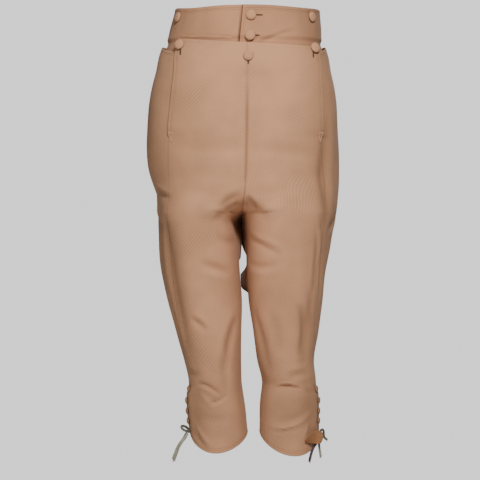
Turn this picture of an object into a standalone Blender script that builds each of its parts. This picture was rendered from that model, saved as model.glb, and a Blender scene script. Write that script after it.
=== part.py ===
"""Fall-front knee breeches of ribbed drill, filled out as they are worn.

Metres, +Z up. The wearer faces -Y, so the wearer's left is +X and the wearer's right is -X.
The origin is the middle of the waist, halfway up the waistband.

The cloth is worked out as a form: closed sections round each leg, which grow into one section
round the hips above the fork. Each cut piece is a wall over its own stretch of that form.
"""

import math
from collections import namedtuple

import bmesh
import bpy
import numpy as np
from mathutils import Matrix, Vector

MM = 0.001

# Cloth and seams, in millimetres
CLOTH = 1.8
BAND_CLOTH = 2.4
SEAM_GAP = 0.3

# Heights above the origin, in millimetres
BAND_TOP = 32.0
BAND_FOOT_BEHIND = -34.0
BAND_FOOT_UNDER_FALL = -80.0
BAND_SINK_TOP = -24.0
BAND_SINK_FOOT = -31.0
FORK = -334.0
SLIT_FOOT = -201.0
KNEE_OPENING_TOP = -642.0
HEM_AT_SIDES = -727.0
HEM_DROP_FRONT = {-1: 35.0, 1: 40.0}
HEM_DROP_BEHIND = 12.0
HEM_STARTS_TO_SLOPE = -655.0

# How far above the fork the two legs have grown into one section, before and behind
FRONT_RISE = 66.0
BACK_RISE = 150.0
FORK_POWER = 1.6
ARCH_HEIGHT = 20.0
BACK_SQUARENESS = 2.1
INSEAM_SETBACK = 0.002

# What one piece laps over another
FALL_LIFT = 3.0
FALL_TOP_MIDDLE = -36.5
FALL_TOP_SLOPE = -9.3
FALL_TOP_SAG = 4.8
FALL_UNDERLAP = 15.0
KNEE_LIFT = 2.5
KNEE_UNDERLAP = 13.0
BAND_OVERLAP_LIFT = 2.8
BAND_RECESS = 3.6
BAND_OVERLAP = 7.0
BAND_OVERLAP_SLANT = 8.0
BAND_UNDERLAP = 21.0
POCKET_MOUTH = {-1: 5.0, 1: 4.5}
POCKET_MOUTH_START = math.radians(-34.0)
POCKET_MOUTH_SETBACK = math.radians(5.0)
POCKET_BOW_POWER = 1.3
POCKET_BOWS = (-88.0, -38.0)
SLIT_EASE = 1.3
SIDE_TOP_DIP = 14.0
SIDE_TOP_DIPS_FROM = -0.15

# Where one piece's lap begins and ends: angles are past the seam, heights are at the band's foot
FALL_LAP_FADES = (math.radians(16.0), math.radians(42.0))
KNEE_LAP_FADES = (math.radians(18.0), math.radians(45.0))
BAND_CLEARED = (BAND_FOOT_UNDER_FALL - 24.0, BAND_FOOT_UNDER_FALL + 12.0)
BAND_OVERLAP_FADES = (30.0, 70.0)
FALL_UNDERLAP_GROWS = 40.0
KNEE_UNDERLAP_GROWS = 30.0

# The hem's curve: a half wave round the leg, pushed towards the inseam and made a little keener
HEM_SKEW = 0.83
HEM_KEENNESS = 1.2
HEM_SLOPE_POWER = 1.5

# Where, from behind to the front, the waistband sinks in and then runs on down under the fall
BAND_SINKS_FROM = math.radians(-54.0)
BAND_SINKS_TO = math.radians(-46.0)
BAND_DEEPENS_FROM = math.radians(-39.0)
BAND_DEEPENS_TO = math.radians(-27.0)

# The section all round at each height, in millimetres. right and left are the wearer's.
# middle is the plane where the legs meet, side is how far back the widest point lies,
# and square is how full the front's corners are: 2 is an ellipse.
Section = namedtuple(
    "Section", "height outer_right outer_left inner_right inner_left middle front back side square"
)
SECTIONS = (
    Section(60, -122, 128, 0, 0, 0, -99, 99, 0, 2.4),
    Section(33, -128, 130, 0, 0, 0, -101, 101, 0, 2.4),
    Section(0, -137, 133, 0, 0, 0, -104, 103, 0, 2.4),
    Section(-34, -146, 136, 0, 0, 0, -108, 107, 0, 2.5),
    Section(-58, -156, 145, 0, 0, 0, -110, 113, 0, 2.6),
    Section(-85, -164, 152, 0, 0, 0, -112, 121, 0, 2.7),
    Section(-130, -171, 159, 0, 0, 0, -114, 134, 0, 2.7),
    Section(-202, -173, 163, -7, 5, -1, -113, 146, 0, 2.6),
    Section(-247, -170, 164, -8, 4, -2, -110, 148, 0, 2.5),
    Section(-292, -163, 164, -11, 2, -4, -105, 139, 2, 2.4),
    Section(-337, -162, 161, -22, -5, -9, -98, 122, 4, 2.3),
    Section(-382, -159, 152, -17, -1, -9, -92, 103, 3, 2.2),
    Section(-436, -154, 141, -13, 0, -12, -86, 88, 0, 2.1),
    Section(-490, -143, 136, -9, 3, -8, -79, 76, -2, 2.1),
    Section(-544, -128.5, 129.5, -10, 11, 0, -72, 66, -3, 2.1),
    Section(-598, -113, 120.5, -11, 19, 4, -66, 58, -3, 2.1),
    Section(-634, -106, 125, -9, 26, 8, -63, 53, -4, 2.1),
    Section(-670, -106, 126, -5, 24, 9, -59, 53, -2, 2.1),
    Section(-706, -103, 126, -1, 23, 11, -52, 57, 3, 2.0),
    Section(-742, -98, 127, 2, 23, 12, -46, 60, 7, 2.0),
    Section(-790, -92, 127, 3, 23, 13, -42, 62, 10, 2.0),
)

# Where the side seam and the fall's free edge run, as a share of the way from the middle plane
# to the outer side
Seam = namedtuple("Seam", "height right left")
SEAMS = (
    Seam(0, 0.84, 0.89),
    Seam(-45, 0.83, 0.89),
    Seam(-85, 0.78, 0.85),
    Seam(-120, 0.773, 0.83),
    Seam(-201, 0.80, 0.825),
    Seam(-350, 0.868, 0.88),
    Seam(-490, 0.893, 0.90),
    Seam(-580, 0.955, 0.955),
    Seam(-640, 0.9936, 0.9936),
    Seam(-790, 0.9936, 0.9936),
)

# How far the waistband's top edge dips round the waist: angle in degrees, dip in millimetres
Dip = namedtuple("Dip", "angle right left")
BAND_TOP_DIPS = (
    Dip(-90, 0.0, 0.0),
    Dip(-30, 0.0, 1.0),
    Dip(10, 0.0, 2.5),
    Dip(48, 5.0, 4.5),
    Dip(75, 2.5, 2.5),
    Dip(100, 1.5, 1.5),
)

# Where the cloth stands off or sinks, in millimetres and degrees. A bag falls away like 1 - t^4
# below its fullest height, as a full seat does, and its other sides fade like a bell.
Swell = namedtuple("Swell", "name side height up down angle wide deep")
SWELLS = (
    Swell("seat_bag", -1, -212, 105, 88, -30, 34, 16),
    Swell("seat_bag", 1, -215, 105, 90, -34, 30, 6),
    Swell("fork_bag", -1, -356, 44, 64, -163, 13, 20),
    Swell("fork_bag", 1, -354, 44, 56, -163, 13, 15),
    Swell("thigh_bag", 1, -450, 16, 28, -163, 12, 18),
    Swell("side_crease", -1, -330, 80, 260, 22, 13, -2.5),
    Swell("side_crease", 1, -360, 90, 200, 27, 13, -2.5),
    Swell("knee_hollow", -1, -662, 22, 30, 95, 60, -3.0),
    Swell("knee_hollow", 1, -640, 10, 22, 90, 55, -3.5),
)

# Grid of each panel: rows between named heights, and columns round the section
COLUMNS = 15
BAND_COLUMNS = 15
BAND_LEVELS = (BAND_TOP, 16.0, 0.0, -12.0, BAND_SINK_TOP, BAND_SINK_FOOT)
BAND_ROWS_BELOW = 3
EDGE_RISE = 16.0
SHARP_ANGLE = math.radians(40.0)
ROW_STRETCHES = (
    (HEM_AT_SIDES, KNEE_OPENING_TOP - EDGE_RISE, 4),
    (KNEE_OPENING_TOP - EDGE_RISE, KNEE_OPENING_TOP, 1),
    (KNEE_OPENING_TOP, -350.0, 13),
    (-350.0, FORK, 4),
    (FORK, -250.0, 7),
    (-250.0, SLIT_FOOT, 2),
    (SLIT_FOOT, SLIT_FOOT + EDGE_RISE, 1),
    (SLIT_FOOT + EDGE_RISE, BAND_FOOT_UNDER_FALL, 4),
    (BAND_FOOT_UNDER_FALL, BAND_FOOT_BEHIND, 3),
)

# Buttons. across is the way from the middle plane, height and lift are millimetres, and forward
# turns a button from the cloth's own facing (0) towards the front (1).
BUTTON_RADIUS = 9.0
KNEE_BUTTON_RADIUS = 6.2
SHANK_LENGTH = 1.0
SHANK_SHARE = 0.24
SHANK_GAP = 0.5
BUTTON_STEPS = 12
MERGE_WITHIN = 0.00001
# Half of a button's outline, from the middle of its face round to the shank: the way out from
# its axis and the way up, as shares of its radius
BUTTON_PROFILE = (
    (0.0, 0.47),
    (0.5, 0.44),
    (0.82, 0.34),
    (1.0, 0.18),
    (0.93, 0.05),
    (0.6, 0.0),
    (SHANK_SHARE, 0.0),
)
KNEE_BUTTON_HEIGHTS = (-648.0, -669.0, -688.0, -706.0)
KNEE_BUTTON_SETBACK = math.radians(15.0)
Button = namedtuple("Button", "name side across height lift forward")
FRONT_BUTTONS = (
    Button("waist_button_upper", 1, 6.6, 11.5, BAND_OVERLAP_LIFT, 0.0),
    Button("waist_button_lower", 1, 4.9, -24.5, BAND_OVERLAP_LIFT, 0.0),
    Button("fall_button_middle", 1, 1.8, -60.0, FALL_LIFT, 0.0),
    Button("fall_button_right", -1, 115.0, -39.0, FALL_LIFT, 0.3),
    Button("fall_button_left", 1, 115.0, -44.5, FALL_LIFT, 0.3),
    Button("brace_button_right", -1, 121.0, 12.5, 0.0, 0.0),
    Button("brace_button_left", 1, 113.5, 12.5, 0.0, 0.0),
)
BACK_BUTTONS = (
    Button("brace_button_back_right", -1, 42.0, 12.0, 0.0, 0.0),
    Button("brace_button_back_left", 1, 42.0, 12.0, 0.0, 0.0),
)

# Slit stays and the turned-back corner of the left hem. Each row of the corner is a column of
# it: the angle in degrees, its lower and upper end, and how far it stands off the leg.
STAY_CLOTH = 1.0
STAY_WIDTH = 12.0
STAY_POINT = 1.2
STAY_SETBACK = 1.0
STAY_POINT_SETBACK = 6.4
STAY_RISE = 9.0
STAY_ROWS = 5
STAY_COLUMNS = 4
FLAP_CLOTH = 1.2
FLAP_ROWS = 5
Fold = namedtuple("Fold", "angle low high lift")
FLAP = (
    Fold(59, -743.0, -739.5, 2.2),
    Fold(50, -744.0, -731.0, 5.2),
    Fold(42, -745.0, -724.5, 8.3),
    Fold(34, -746.5, -722.0, 10.6),
    Fold(27, -746.0, -723.5, 12.2),
    Fold(20, -740.0, -727.5, 13.0),
)

# Ribbon ties at the knee hems: the points that each one passes, in millimetres
RIBBON_WIDTH = 4.0
RIBBON_STEP = 6.0
ROUTE_PIECE_STEPS = 24
KNOT_RADIUS = 3.6
KNOT_SEGMENTS = 12
KNOT_RINGS = 8
KNOT_RIGHT = (-104.6, -12.0, -725.0)
KNOT_LEFT = (131.8, -6.5, -738.0)
RIBBON_ROUTES = {
    "ribbon_loop_right": (
        (-104.8, -7.8, -723.3),
        (-107.6, -3.5, -720.1),
        (-112.0, -2.6, -717.2),
        (-117.0, -7.0, -716.2),
        (-117.3, -13.8, -719.0),
        (-113.3, -16.9, -722.4),
        (-107.8, -15.6, -724.8),
    ),
    "ribbon_tail_right_front": (
        (-106.4, -13.4, -728.9),
        (-112.0, -16.0, -738.0),
        (-122.0, -17.0, -753.0),
        (-131.5, -16.5, -779.0),
    ),
    "ribbon_tail_right_back": (
        (-107.8, -9.0, -727.6),
        (-114.0, -11.3, -738.0),
        (-124.0, -12.3, -752.5),
        (-133.5, -12.0, -776.0),
    ),
    "ribbon_loop_left": (
        (130.3, -10.0, -735.0),
        (130.4, -11.5, -729.1),
        (132.6, -8.9, -724.1),
        (135.6, -3.7, -722.8),
        (137.7, 1.0, -726.1),
        (137.9, 2.5, -731.4),
        (138.6, 1.2, -736.2),
        (141.2, -1.0, -739.6),
        (145.0, -3.0, -741.6),
    ),
    "ribbon_tail_left_back": (
        (130.6, -7.0, -742.4),
        (129.3, -7.5, -749.0),
        (130.3, -8.0, -758.0),
        (132.5, -8.3, -772.8),
    ),
    "ribbon_tail_left_front": (
        (130.2, -10.6, -739.5),
        (126.5, -19.5, -743.0),
        (122.5, -26.5, -747.5),
        (118.5, -30.5, -753.0),
        (114.5, -33.0, -763.0),
        (110.8, -34.5, -778.0),
    ),
}
RIBBON_MATERIALS = {"ribbon_tail_left_front": "dark_ribbon"}

CLOTH_COLOUR = (0.49, 0.30, 0.195, 1.0)
BUTTON_COLOUR = (0.47, 0.285, 0.18, 1.0)
FACING_COLOUR = (0.42, 0.19, 0.07, 1.0)
OLIVE_RIBBON_COLOUR = (0.19, 0.18, 0.12, 1.0)
DARK_RIBBON_COLOUR = (0.07, 0.045, 0.06, 1.0)


def read_column(table, name, height):
    """A column of a table at any value of its first column, on a smooth curve through its rows."""
    rows = sorted(table)
    knots = np.array([row[0] for row in rows], float)
    values = np.array([getattr(row, name) for row in rows], float)
    slopes = np.gradient(values, knots)
    at = np.clip(np.searchsorted(knots, height) - 1, 0, len(knots) - 2)
    span = knots[at + 1] - knots[at]
    t = np.clip((height - knots[at]) / span, 0, 1)
    return (
        values[at] * (1 + 2 * t) * (1 - t) ** 2
        + slopes[at] * span * t * (1 - t) ** 2
        + values[at + 1] * t**2 * (3 - 2 * t)
        + slopes[at + 1] * span * t**2 * (t - 1)
    )


def ramp(value, low, high):
    """0 below low and 1 above high, with a straight rise between."""
    return np.clip((np.asarray(value, float) - low) / (high - low), 0, 1)


def step(value, low, high):
    """0 below low and 1 above high, with a smooth rise between."""
    t = ramp(value, low, high)
    return t * t * (3 - 2 * t)


def signed_power(value, power):
    return np.sign(value) * np.abs(value) ** power


def sided(side, name):
    return f"{name}_{'left' if side > 0 else 'right'}"


def swell(side, height, angle):
    """How far the cloth stands off its plain section, from the table of swells."""
    degrees = np.degrees(angle)
    total = np.zeros(np.broadcast(height, angle).shape)
    for row in SWELLS:
        if row.side != side:
            continue
        above = np.exp(-(((height - row.height) / row.up) ** 2))
        fall = np.clip((row.height - height) / row.down, 0, 1)
        below = 1 - fall**4 if row.name.endswith("bag") else (1 - fall**2) ** 2
        turn = (degrees - row.angle + 180) % 360 - 180
        round_it = np.exp(-((turn / row.wide) ** 2))
        total = total + row.deep * np.where(height > row.height, above, below) * round_it
    return total


def section(side, height, angle):
    """Centre, half width and front or back depth of one side's section at each point."""
    middle = read_column(SECTIONS, "middle", height)
    reach = side * (read_column(SECTIONS, sided(side, "outer"), height) - middle)
    inner = side * (read_column(SECTIONS, sided(side, "inner"), height) - middle)
    arch = ramp(FORK - height, 0, ARCH_HEIGHT)
    inner = inner * arch * (2 - arch)
    rise = np.where(angle > 0, FRONT_RISE, BACK_RISE)
    parted = (1 - np.clip((height - FORK) / rise, 0, 1)) ** FORK_POWER
    half = np.where(height > FORK, reach / (1 + parted), (reach - inner) / 2)
    centre = np.where(height > FORK, half * parted, (reach + inner) / 2)
    return middle, centre, half, parted


def squareness(height, angle):
    return np.where(angle > 0, read_column(SECTIONS, "square", height), BACK_SQUARENESS)


def form(side, height, angle, lift=0.0, clipped=True):
    """Points of the cloth's outer face in millimetres.

    angle is 0 at the outer side of the leg, a quarter turn at the front, a half turn inside the
    leg, and negative behind. Each section is a superellipse. lift moves a point straight out.
    """
    height, angle = np.broadcast_arrays(np.asarray(height, float), np.asarray(angle, float))
    middle, centre, half, _ = section(side, height, angle)
    front = read_column(SECTIONS, "front", height)
    back = read_column(SECTIONS, "back", height)
    widest = read_column(SECTIONS, "side", height)
    depth = np.where(angle > 0, widest - front, back - widest)
    power = 2 / squareness(height, angle)
    across = half * signed_power(np.cos(angle), power)
    along = depth * signed_power(np.sin(angle), power)
    out = np.maximum(np.hypot(across, along), 1.0)
    grow = 1 + (swell(side, height, angle) + lift) / out
    distance = centre + across * grow
    if clipped:
        distance = np.maximum(distance, SEAM_GAP / 2)
    return np.stack([middle + side * distance, widest - along * grow, height], axis=-1)


def outward(side, height, angle, lift=0.0, clipped=True):
    """Unit normals of the form, by differences over a small step."""
    small_angle, small_height = 0.01, 0.8
    round_it = form(side, height, angle + small_angle, lift, clipped) - form(
        side, height, angle - small_angle, lift, clipped
    )
    up = form(side, height + small_height, angle, lift, clipped) - form(
        side, height - small_height, angle, lift, clipped
    )
    normal = np.cross(up, round_it) * side
    return normal / np.maximum(np.linalg.norm(normal, axis=-1, keepdims=True), 1e-9)


def angle_at(side, height, distance, front=True):
    """The angle at which a section is that far from the middle plane, before or behind."""
    angle = np.full(np.shape(height), math.pi / 2 if front else -math.pi / 2)
    _, centre, half, _ = section(side, height, angle)
    share = np.clip((distance - centre) / half, -1, 1)
    turn = np.arccos(signed_power(share, squareness(height, angle) / 2))
    return turn if front else -turn


def inner_edge(side, height, front):
    """The angle where a panel meets the centre seam, or the inseam below the fork."""
    inseam = (math.pi - INSEAM_SETBACK) * (1 if front else -1)
    return np.where(height > FORK, angle_at(side, height, 0.0, front), inseam)


def seam_angle(side, height):
    """The angle of the side seam, which above the slit's foot is the fall's free edge."""
    _, centre, half, _ = section(side, height, np.ones_like(height))
    share = read_column(SEAMS, "left" if side > 0 else "right", height)
    middle = read_column(SECTIONS, "middle", height)
    reach = side * (read_column(SECTIONS, sided(side, "outer"), height) - middle)
    across = np.clip((share * reach - centre) / half, 0, 1)
    return np.arccos(across ** (squareness(height, np.ones_like(height)) / 2))


def girth_step(side, height, angle, length):
    """The change of angle that a length along the section takes."""
    small = 0.02
    chord = form(side, height, angle + small) - form(side, height, angle)
    return length * small / np.maximum(np.linalg.norm(chord, axis=-1), 0.1)


def fall_lift(side, height, angle):
    """The fall stands clear of the waistband, and of the piece under its free edge."""
    edge = seam_angle(side, height)
    near_edge = 1 - step(angle - edge, *FALL_LAP_FADES)
    slit = near_edge * ramp(height, SLIT_FOOT, SLIT_FOOT + EDGE_RISE)
    over_band = step(height, *BAND_CLEARED)
    return FALL_LIFT * np.maximum(slit, over_band)


def knee_lift(side, height, angle):
    """The front of the knee opening laps over the back."""
    edge = seam_angle(side, height)
    near_edge = 1 - step(angle - edge, *KNEE_LAP_FADES)
    return KNEE_LIFT * near_edge * (1 - step(height, KNEE_OPENING_TOP - EDGE_RISE, KNEE_OPENING_TOP))


def pocket_lift(side, height, angle):
    """The loose top edge of the side stands away from the waistband between fall and back."""
    edge = seam_angle(side, height) - POCKET_MOUTH_SETBACK
    span = (angle - POCKET_MOUTH_START) / (edge - POCKET_MOUTH_START)
    bow = np.sin(math.pi * np.clip(span, 0, 1)) ** POCKET_BOW_POWER
    return POCKET_MOUTH[side] * bow * step(height, *POCKET_BOWS)


def hem_height(side, height, angle):
    """Rows near the hem slope, so that the last one is lowest in front and a little behind."""
    share = np.clip(np.abs(angle) / math.pi, 0, 1)
    turn = np.abs(np.sin(math.pi * share**HEM_SKEW)) ** HEM_KEENNESS
    drop = np.where(angle > 0, HEM_DROP_FRONT[side], HEM_DROP_BEHIND) * turn
    depth = np.clip((HEM_STARTS_TO_SLOPE - height) / (HEM_STARTS_TO_SLOPE - HEM_AT_SIDES), 0, 1)
    return height - drop * depth**HEM_SLOPE_POWER


def fall_top(side, height, angle):
    """Rows near the fall's top edge follow it: it sags a little, lower on the wearer's left."""
    along = side * np.cos(angle)
    top = FALL_TOP_MIDDLE + FALL_TOP_SLOPE * along + FALL_TOP_SAG * along**2
    rise = step(height, BAND_FOOT_UNDER_FALL, BAND_FOOT_BEHIND)
    return height + (top - BAND_FOOT_BEHIND) * rise


def side_top(side, height, angle):
    """Rows near the top of the back follow the waistband's foot, and dip to the fall in front."""
    edge = seam_angle(side, height)
    dip = SIDE_TOP_DIP * step(angle, SIDE_TOP_DIPS_FROM, edge)
    rise = step(height, BAND_FOOT_UNDER_FALL, BAND_FOOT_BEHIND)
    return height - (dip + SEAM_GAP) * rise


def panel_rows():
    rows = [np.linspace(low, high, count, endpoint=False) for low, high, count in ROW_STRETCHES]
    return np.concatenate([*rows, [BAND_FOOT_BEHIND]])


def wall(name, outer, inner, material, turned=False):
    """One closed piece of cloth between an outer and an inner grid of points, in millimetres."""
    rows, columns = outer.shape[:2]
    points = np.concatenate([outer.reshape(-1, 3), inner.reshape(-1, 3)]) * MM
    index = np.arange(rows * columns).reshape(rows, columns)
    under = index + rows * columns
    faces = []
    for i in range(rows - 1):
        for j in range(columns - 1):
            a, b, c, d = index[i, j], index[i, j + 1], index[i + 1, j + 1], index[i + 1, j]
            faces.append((a, b, c, d))
            a, b, c, d = under[i, j], under[i, j + 1], under[i + 1, j + 1], under[i + 1, j]
            faces.append((d, c, b, a))
    border = (
        [(0, j) for j in range(columns)]
        + [(i, columns - 1) for i in range(1, rows)]
        + [(rows - 1, j) for j in range(columns - 2, -1, -1)]
        + [(i, 0) for i in range(rows - 2, 0, -1)]
    )
    for here, there in zip(border, border[1:] + border[:1]):
        faces.append((index[there], index[here], under[here], under[there]))
    if turned:
        faces = [tuple(reversed(face)) for face in faces]
    mesh = bpy.data.meshes.new(name)
    mesh.from_pydata([tuple(p) for p in points], [], [tuple(int(v) for v in f) for f in faces])
    mesh.shade_smooth()
    mesh.set_sharp_from_angle(angle=SHARP_ANGLE)
    return place(bpy.data.objects.new(name, mesh), material)


def place(obj, material):
    bpy.data.collections["knee_breeches"].objects.link(obj)
    obj.data.materials.append(bpy.data.materials[material])
    return obj


def fan(first, last, count=COLUMNS):
    """Angles of each row, evenly from first to last."""
    return first[:, None] + (last - first)[:, None] * np.linspace(0, 1, count)


def cloth_panel(name, side, height, angle, lift, thick=CLOTH, material="ribbed_cloth", clipped=True):
    """A wall over a grid of heights and angles, its outer face lifted off the form."""
    outer = form(side, height, angle, lift, clipped)
    inner = outer - thick * outward(side, height, angle, lift, clipped)
    rising = height[-1, 0] > height[0, 0]
    towards_front = angle[0, -1] > angle[0, 0]
    turned = ((side > 0) == towards_front) == rising
    return wall(name, outer, inner, material, turned)


def make_front(side):
    """A front: the leg, and above the slit one half of the fall that buttons to the waistband."""
    rows = panel_rows()
    edge = seam_angle(side, rows)
    ease = SLIT_EASE * ramp(rows, SLIT_FOOT, SLIT_FOOT + EDGE_RISE)
    start = edge + girth_step(side, rows, edge, SEAM_GAP / 2 + ease)
    angle = fan(start, inner_edge(side, rows, True))
    height = np.repeat(rows[:, None], COLUMNS, axis=1)
    height = fall_top(side, hem_height(side, height, angle), angle)
    lift = fall_lift(side, height, angle) + knee_lift(side, height, angle)
    cloth_panel(sided(side, "front"), side, height, angle, lift)


def make_back(side):
    """A back: it wraps round the hip to the slit, where it runs on under the fall's edge."""
    rows = panel_rows()
    edge = seam_angle(side, rows)
    above_slit = SLIT_FOOT + EDGE_RISE
    under_fall = FALL_UNDERLAP * step(rows, above_slit, above_slit + FALL_UNDERLAP_GROWS)
    below_opening = KNEE_OPENING_TOP - EDGE_RISE
    knee_starts = below_opening - KNEE_UNDERLAP_GROWS
    under_knee = KNEE_UNDERLAP * (1 - step(rows, knee_starts, below_opening))
    start = edge + girth_step(side, rows, edge, under_fall + under_knee - SEAM_GAP / 2)
    beside = edge - POCKET_MOUTH_SETBACK
    rest = fan(beside, inner_edge(side, rows, False), COLUMNS - 1)
    angle = np.concatenate([start[:, None], rest], axis=1)
    height = np.repeat(rows[:, None], COLUMNS, axis=1)
    height = side_top(side, hem_height(side, height, angle), angle)
    cloth_panel(sided(side, "back"), side, height, angle, pocket_lift(side, height, angle))


def band_foot(angle):
    """The waistband's lower edge: on the seam behind, and far down under the fall in front."""
    deep = ramp(angle, BAND_DEEPENS_FROM, BAND_DEEPENS_TO)
    return BAND_FOOT_BEHIND + (BAND_FOOT_UNDER_FALL - BAND_FOOT_BEHIND) * deep


def band_recess(height, angle):
    """In front and at the sides the band's lower part lies deeper, behind the fall and pockets."""
    low = 1 - ramp(height, BAND_SINK_FOOT, BAND_SINK_TOP)
    return BAND_RECESS * low * ramp(angle, BAND_SINKS_FROM, BAND_SINKS_TO)


def band_angles(side, rows):
    """Columns of a waistband half, from its front end to the centre back."""
    down = (BAND_TOP - rows) / (BAND_TOP - BAND_FOOT_BEHIND)
    end = -BAND_OVERLAP - BAND_OVERLAP_SLANT * np.minimum(down, 1) if side > 0 else -BAND_UNDERLAP
    front = angle_at(side, rows, np.broadcast_to(end, rows.shape))
    breaks = (BAND_DEEPENS_TO, BAND_DEEPENS_FROM, BAND_SINKS_TO, BAND_SINKS_FROM)
    at_breaks = [np.full((len(rows), 1), angle) for angle in breaks]
    back = angle_at(side, rows, SEAM_GAP / 2, front=False)
    in_front = fan(front, at_breaks[0][:, 0], BAND_COLUMNS)
    behind = fan(at_breaks[-1][:, 0], back, BAND_COLUMNS // 2)
    return np.concatenate([in_front, *at_breaks[1:-1], behind], axis=1)


def make_waistband(side):
    """One half of the waistband; the wearer's left one laps over the right one in front."""
    down = np.linspace(0, 1, BAND_ROWS_BELOW + 1)[1:]
    deep = BAND_SINK_FOOT + (BAND_FOOT_UNDER_FALL - BAND_SINK_FOOT) * down
    angle = band_angles(side, np.concatenate([BAND_LEVELS, deep]))
    upper = np.array(BAND_LEVELS)[:, None] + 0 * angle[:len(BAND_LEVELS)]
    foot = band_foot(angle[len(BAND_LEVELS):])
    height = np.concatenate([upper, BAND_SINK_FOOT + (foot - BAND_SINK_FOOT) * down[:, None]])
    dip = read_column(BAND_TOP_DIPS, "left" if side > 0 else "right", np.degrees(angle))
    height = height - dip * ramp(height, 0, BAND_TOP)
    lift = -band_recess(height, angle)
    if side > 0:
        x = form(side, height, angle, clipped=False)[..., 0]
        lift = lift + BAND_OVERLAP_LIFT * (1 - step(x, *BAND_OVERLAP_FADES)) * (angle > 0)
    cloth_panel(sided(side, "waistband"), side, height, angle, lift, BAND_CLOTH, clipped=False)


def make_stay(side):
    """The small three-cornered stay that holds the foot of the fall's slit."""
    share = np.linspace(0, 1, STAY_ROWS)
    rows = SLIT_FOOT - STAY_RISE + 2 * STAY_RISE * share
    edge = seam_angle(side, rows)
    width = STAY_POINT + (STAY_WIDTH - STAY_POINT) * share
    setback = STAY_POINT_SETBACK + (STAY_SETBACK - STAY_POINT_SETBACK) * share
    start = edge + girth_step(side, rows, edge, setback)
    angle = fan(start, start + girth_step(side, rows, edge, width), STAY_COLUMNS)
    height = np.repeat(rows[:, None], STAY_COLUMNS, axis=1)
    lift = fall_lift(side, height, angle) + 2 * SEAM_GAP + STAY_CLOTH
    cloth_panel(sided(side, "slit_stay"), side, height, angle, lift, STAY_CLOTH)


def make_knee_flap():
    """The turned-back corner of the wearer's left hem."""
    share = np.linspace(0, 1, FLAP_ROWS)[:, None]
    low, high = (np.array([getattr(row, name) for row in FLAP]) for name in ("low", "high"))
    height = low + (high - low) * share
    angle = np.radians([row.angle for row in FLAP]) + 0 * share
    lift = np.array([row.lift for row in FLAP]) + 0 * share
    cloth_panel("knee_flap", 1, height, angle, lift, FLAP_CLOTH, "facing")


def button_mesh(name, radius):
    """A covered button on its shank, as the profile that a Screw modifier turns."""
    points = [(x * radius * MM, 0.0, z * radius * MM) for x, z in BUTTON_PROFILE]
    foot = -SHANK_LENGTH * MM
    points += [(SHANK_SHARE * radius * MM, 0.0, foot), (0.0, 0.0, foot)]
    mesh = bpy.data.meshes.new(name)
    mesh.from_pydata(points, [(i, i + 1) for i in range(len(points) - 1)], [])
    return mesh


def add_button(name, mesh, radius, surface, cloth_normal, forward=0.0):
    """A button on its shank, clear of the cloth, turned from the cloth's facing to the front."""
    facing = cloth_normal * (1 - forward) + np.array([0.0, -1.0, 0.0]) * forward
    facing = facing / np.linalg.norm(facing)
    tilt = np.linalg.norm(np.cross(facing, cloth_normal))
    foot = surface + cloth_normal * (SHANK_GAP + radius * tilt) + facing * SHANK_LENGTH
    turn = Vector(facing).to_track_quat("Z", "Y").to_matrix().to_4x4()
    obj = place(bpy.data.objects.new(name, mesh), "covered_button")
    obj.matrix_world = Matrix.Translation(Vector(foot) * MM) @ turn
    screw = obj.modifiers.new("turned", "SCREW")
    screw.steps = screw.render_steps = BUTTON_STEPS
    screw.use_merge_vertices = True
    screw.merge_threshold = MERGE_WITHIN


def cloth_point(side, height, angle, lift):
    """A point of the lifted form and the way it faces there."""
    at = (side, np.array([height]), np.array([angle]), lift, False)
    return form(*at)[0], outward(*at)[0]


def make_buttons():
    large = button_mesh("button_profile", BUTTON_RADIUS)
    small = button_mesh("knee_button_profile", KNEE_BUTTON_RADIUS)
    for row in FRONT_BUTTONS + BACK_BUTTONS:
        in_front = row in FRONT_BUTTONS
        angle = angle_at(row.side, np.array([row.height]), row.across, in_front)[0]
        surface, normal = cloth_point(row.side, row.height, angle, row.lift)
        add_button(row.name, large, BUTTON_RADIUS, surface, normal, row.forward)
    for side in (-1, 1):
        for number, height in enumerate(KNEE_BUTTON_HEIGHTS, 1):
            at = np.array([height])
            angle = seam_angle(side, at) + KNEE_BUTTON_SETBACK
            lift = knee_lift(side, at, angle)
            surface, normal = cloth_point(side, height, angle[0], lift[0])
            name = f"{sided(side, 'knee_button')}_{number}"
            add_button(name, small, KNEE_BUTTON_RADIUS, surface, normal)


def smooth_route(points, spacing):
    """Even points on a smooth curve through a route's own points."""
    points = np.array(points, float)
    ends = np.vstack([2 * points[0] - points[1], points, 2 * points[-1] - points[-2]])
    t = np.linspace(0, 1, ROUTE_PIECE_STEPS, endpoint=False)[:, None]
    pieces = [
        0.5
        * (
            2 * b
            + (c - a) * t
            + (2 * a - 5 * b + 4 * c - d) * t**2
            + (3 * b - a - 3 * c + d) * t**3
        )
        for a, b, c, d in zip(ends, ends[1:], ends[2:], ends[3:])
    ]
    fine = np.vstack([*pieces, points[-1:]])
    run = np.concatenate([[0], np.cumsum(np.linalg.norm(np.diff(fine, axis=0), axis=1))])
    even = np.linspace(0, run[-1], max(3, round(run[-1] / spacing)) + 1)
    return np.stack([np.interp(even, run, fine[:, axis]) for axis in range(3)], axis=1)


def make_ribbon(name):
    """A free end or loop of ribbon, as a tube of the ribbon's width."""
    points = smooth_route(RIBBON_ROUTES[name], RIBBON_STEP) * MM
    curve = bpy.data.curves.new(name, "CURVE")
    curve.dimensions = "3D"
    curve.bevel_depth = RIBBON_WIDTH / 2 * MM
    curve.bevel_resolution = 2
    curve.use_fill_caps = True
    spline = curve.splines.new("POLY")
    spline.points.add(len(points) - 1)
    for point, place_of in zip(spline.points, points):
        point.co = (*place_of, 1.0)
    place(bpy.data.objects.new(name, curve), RIBBON_MATERIALS.get(name, "olive_ribbon"))


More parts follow.
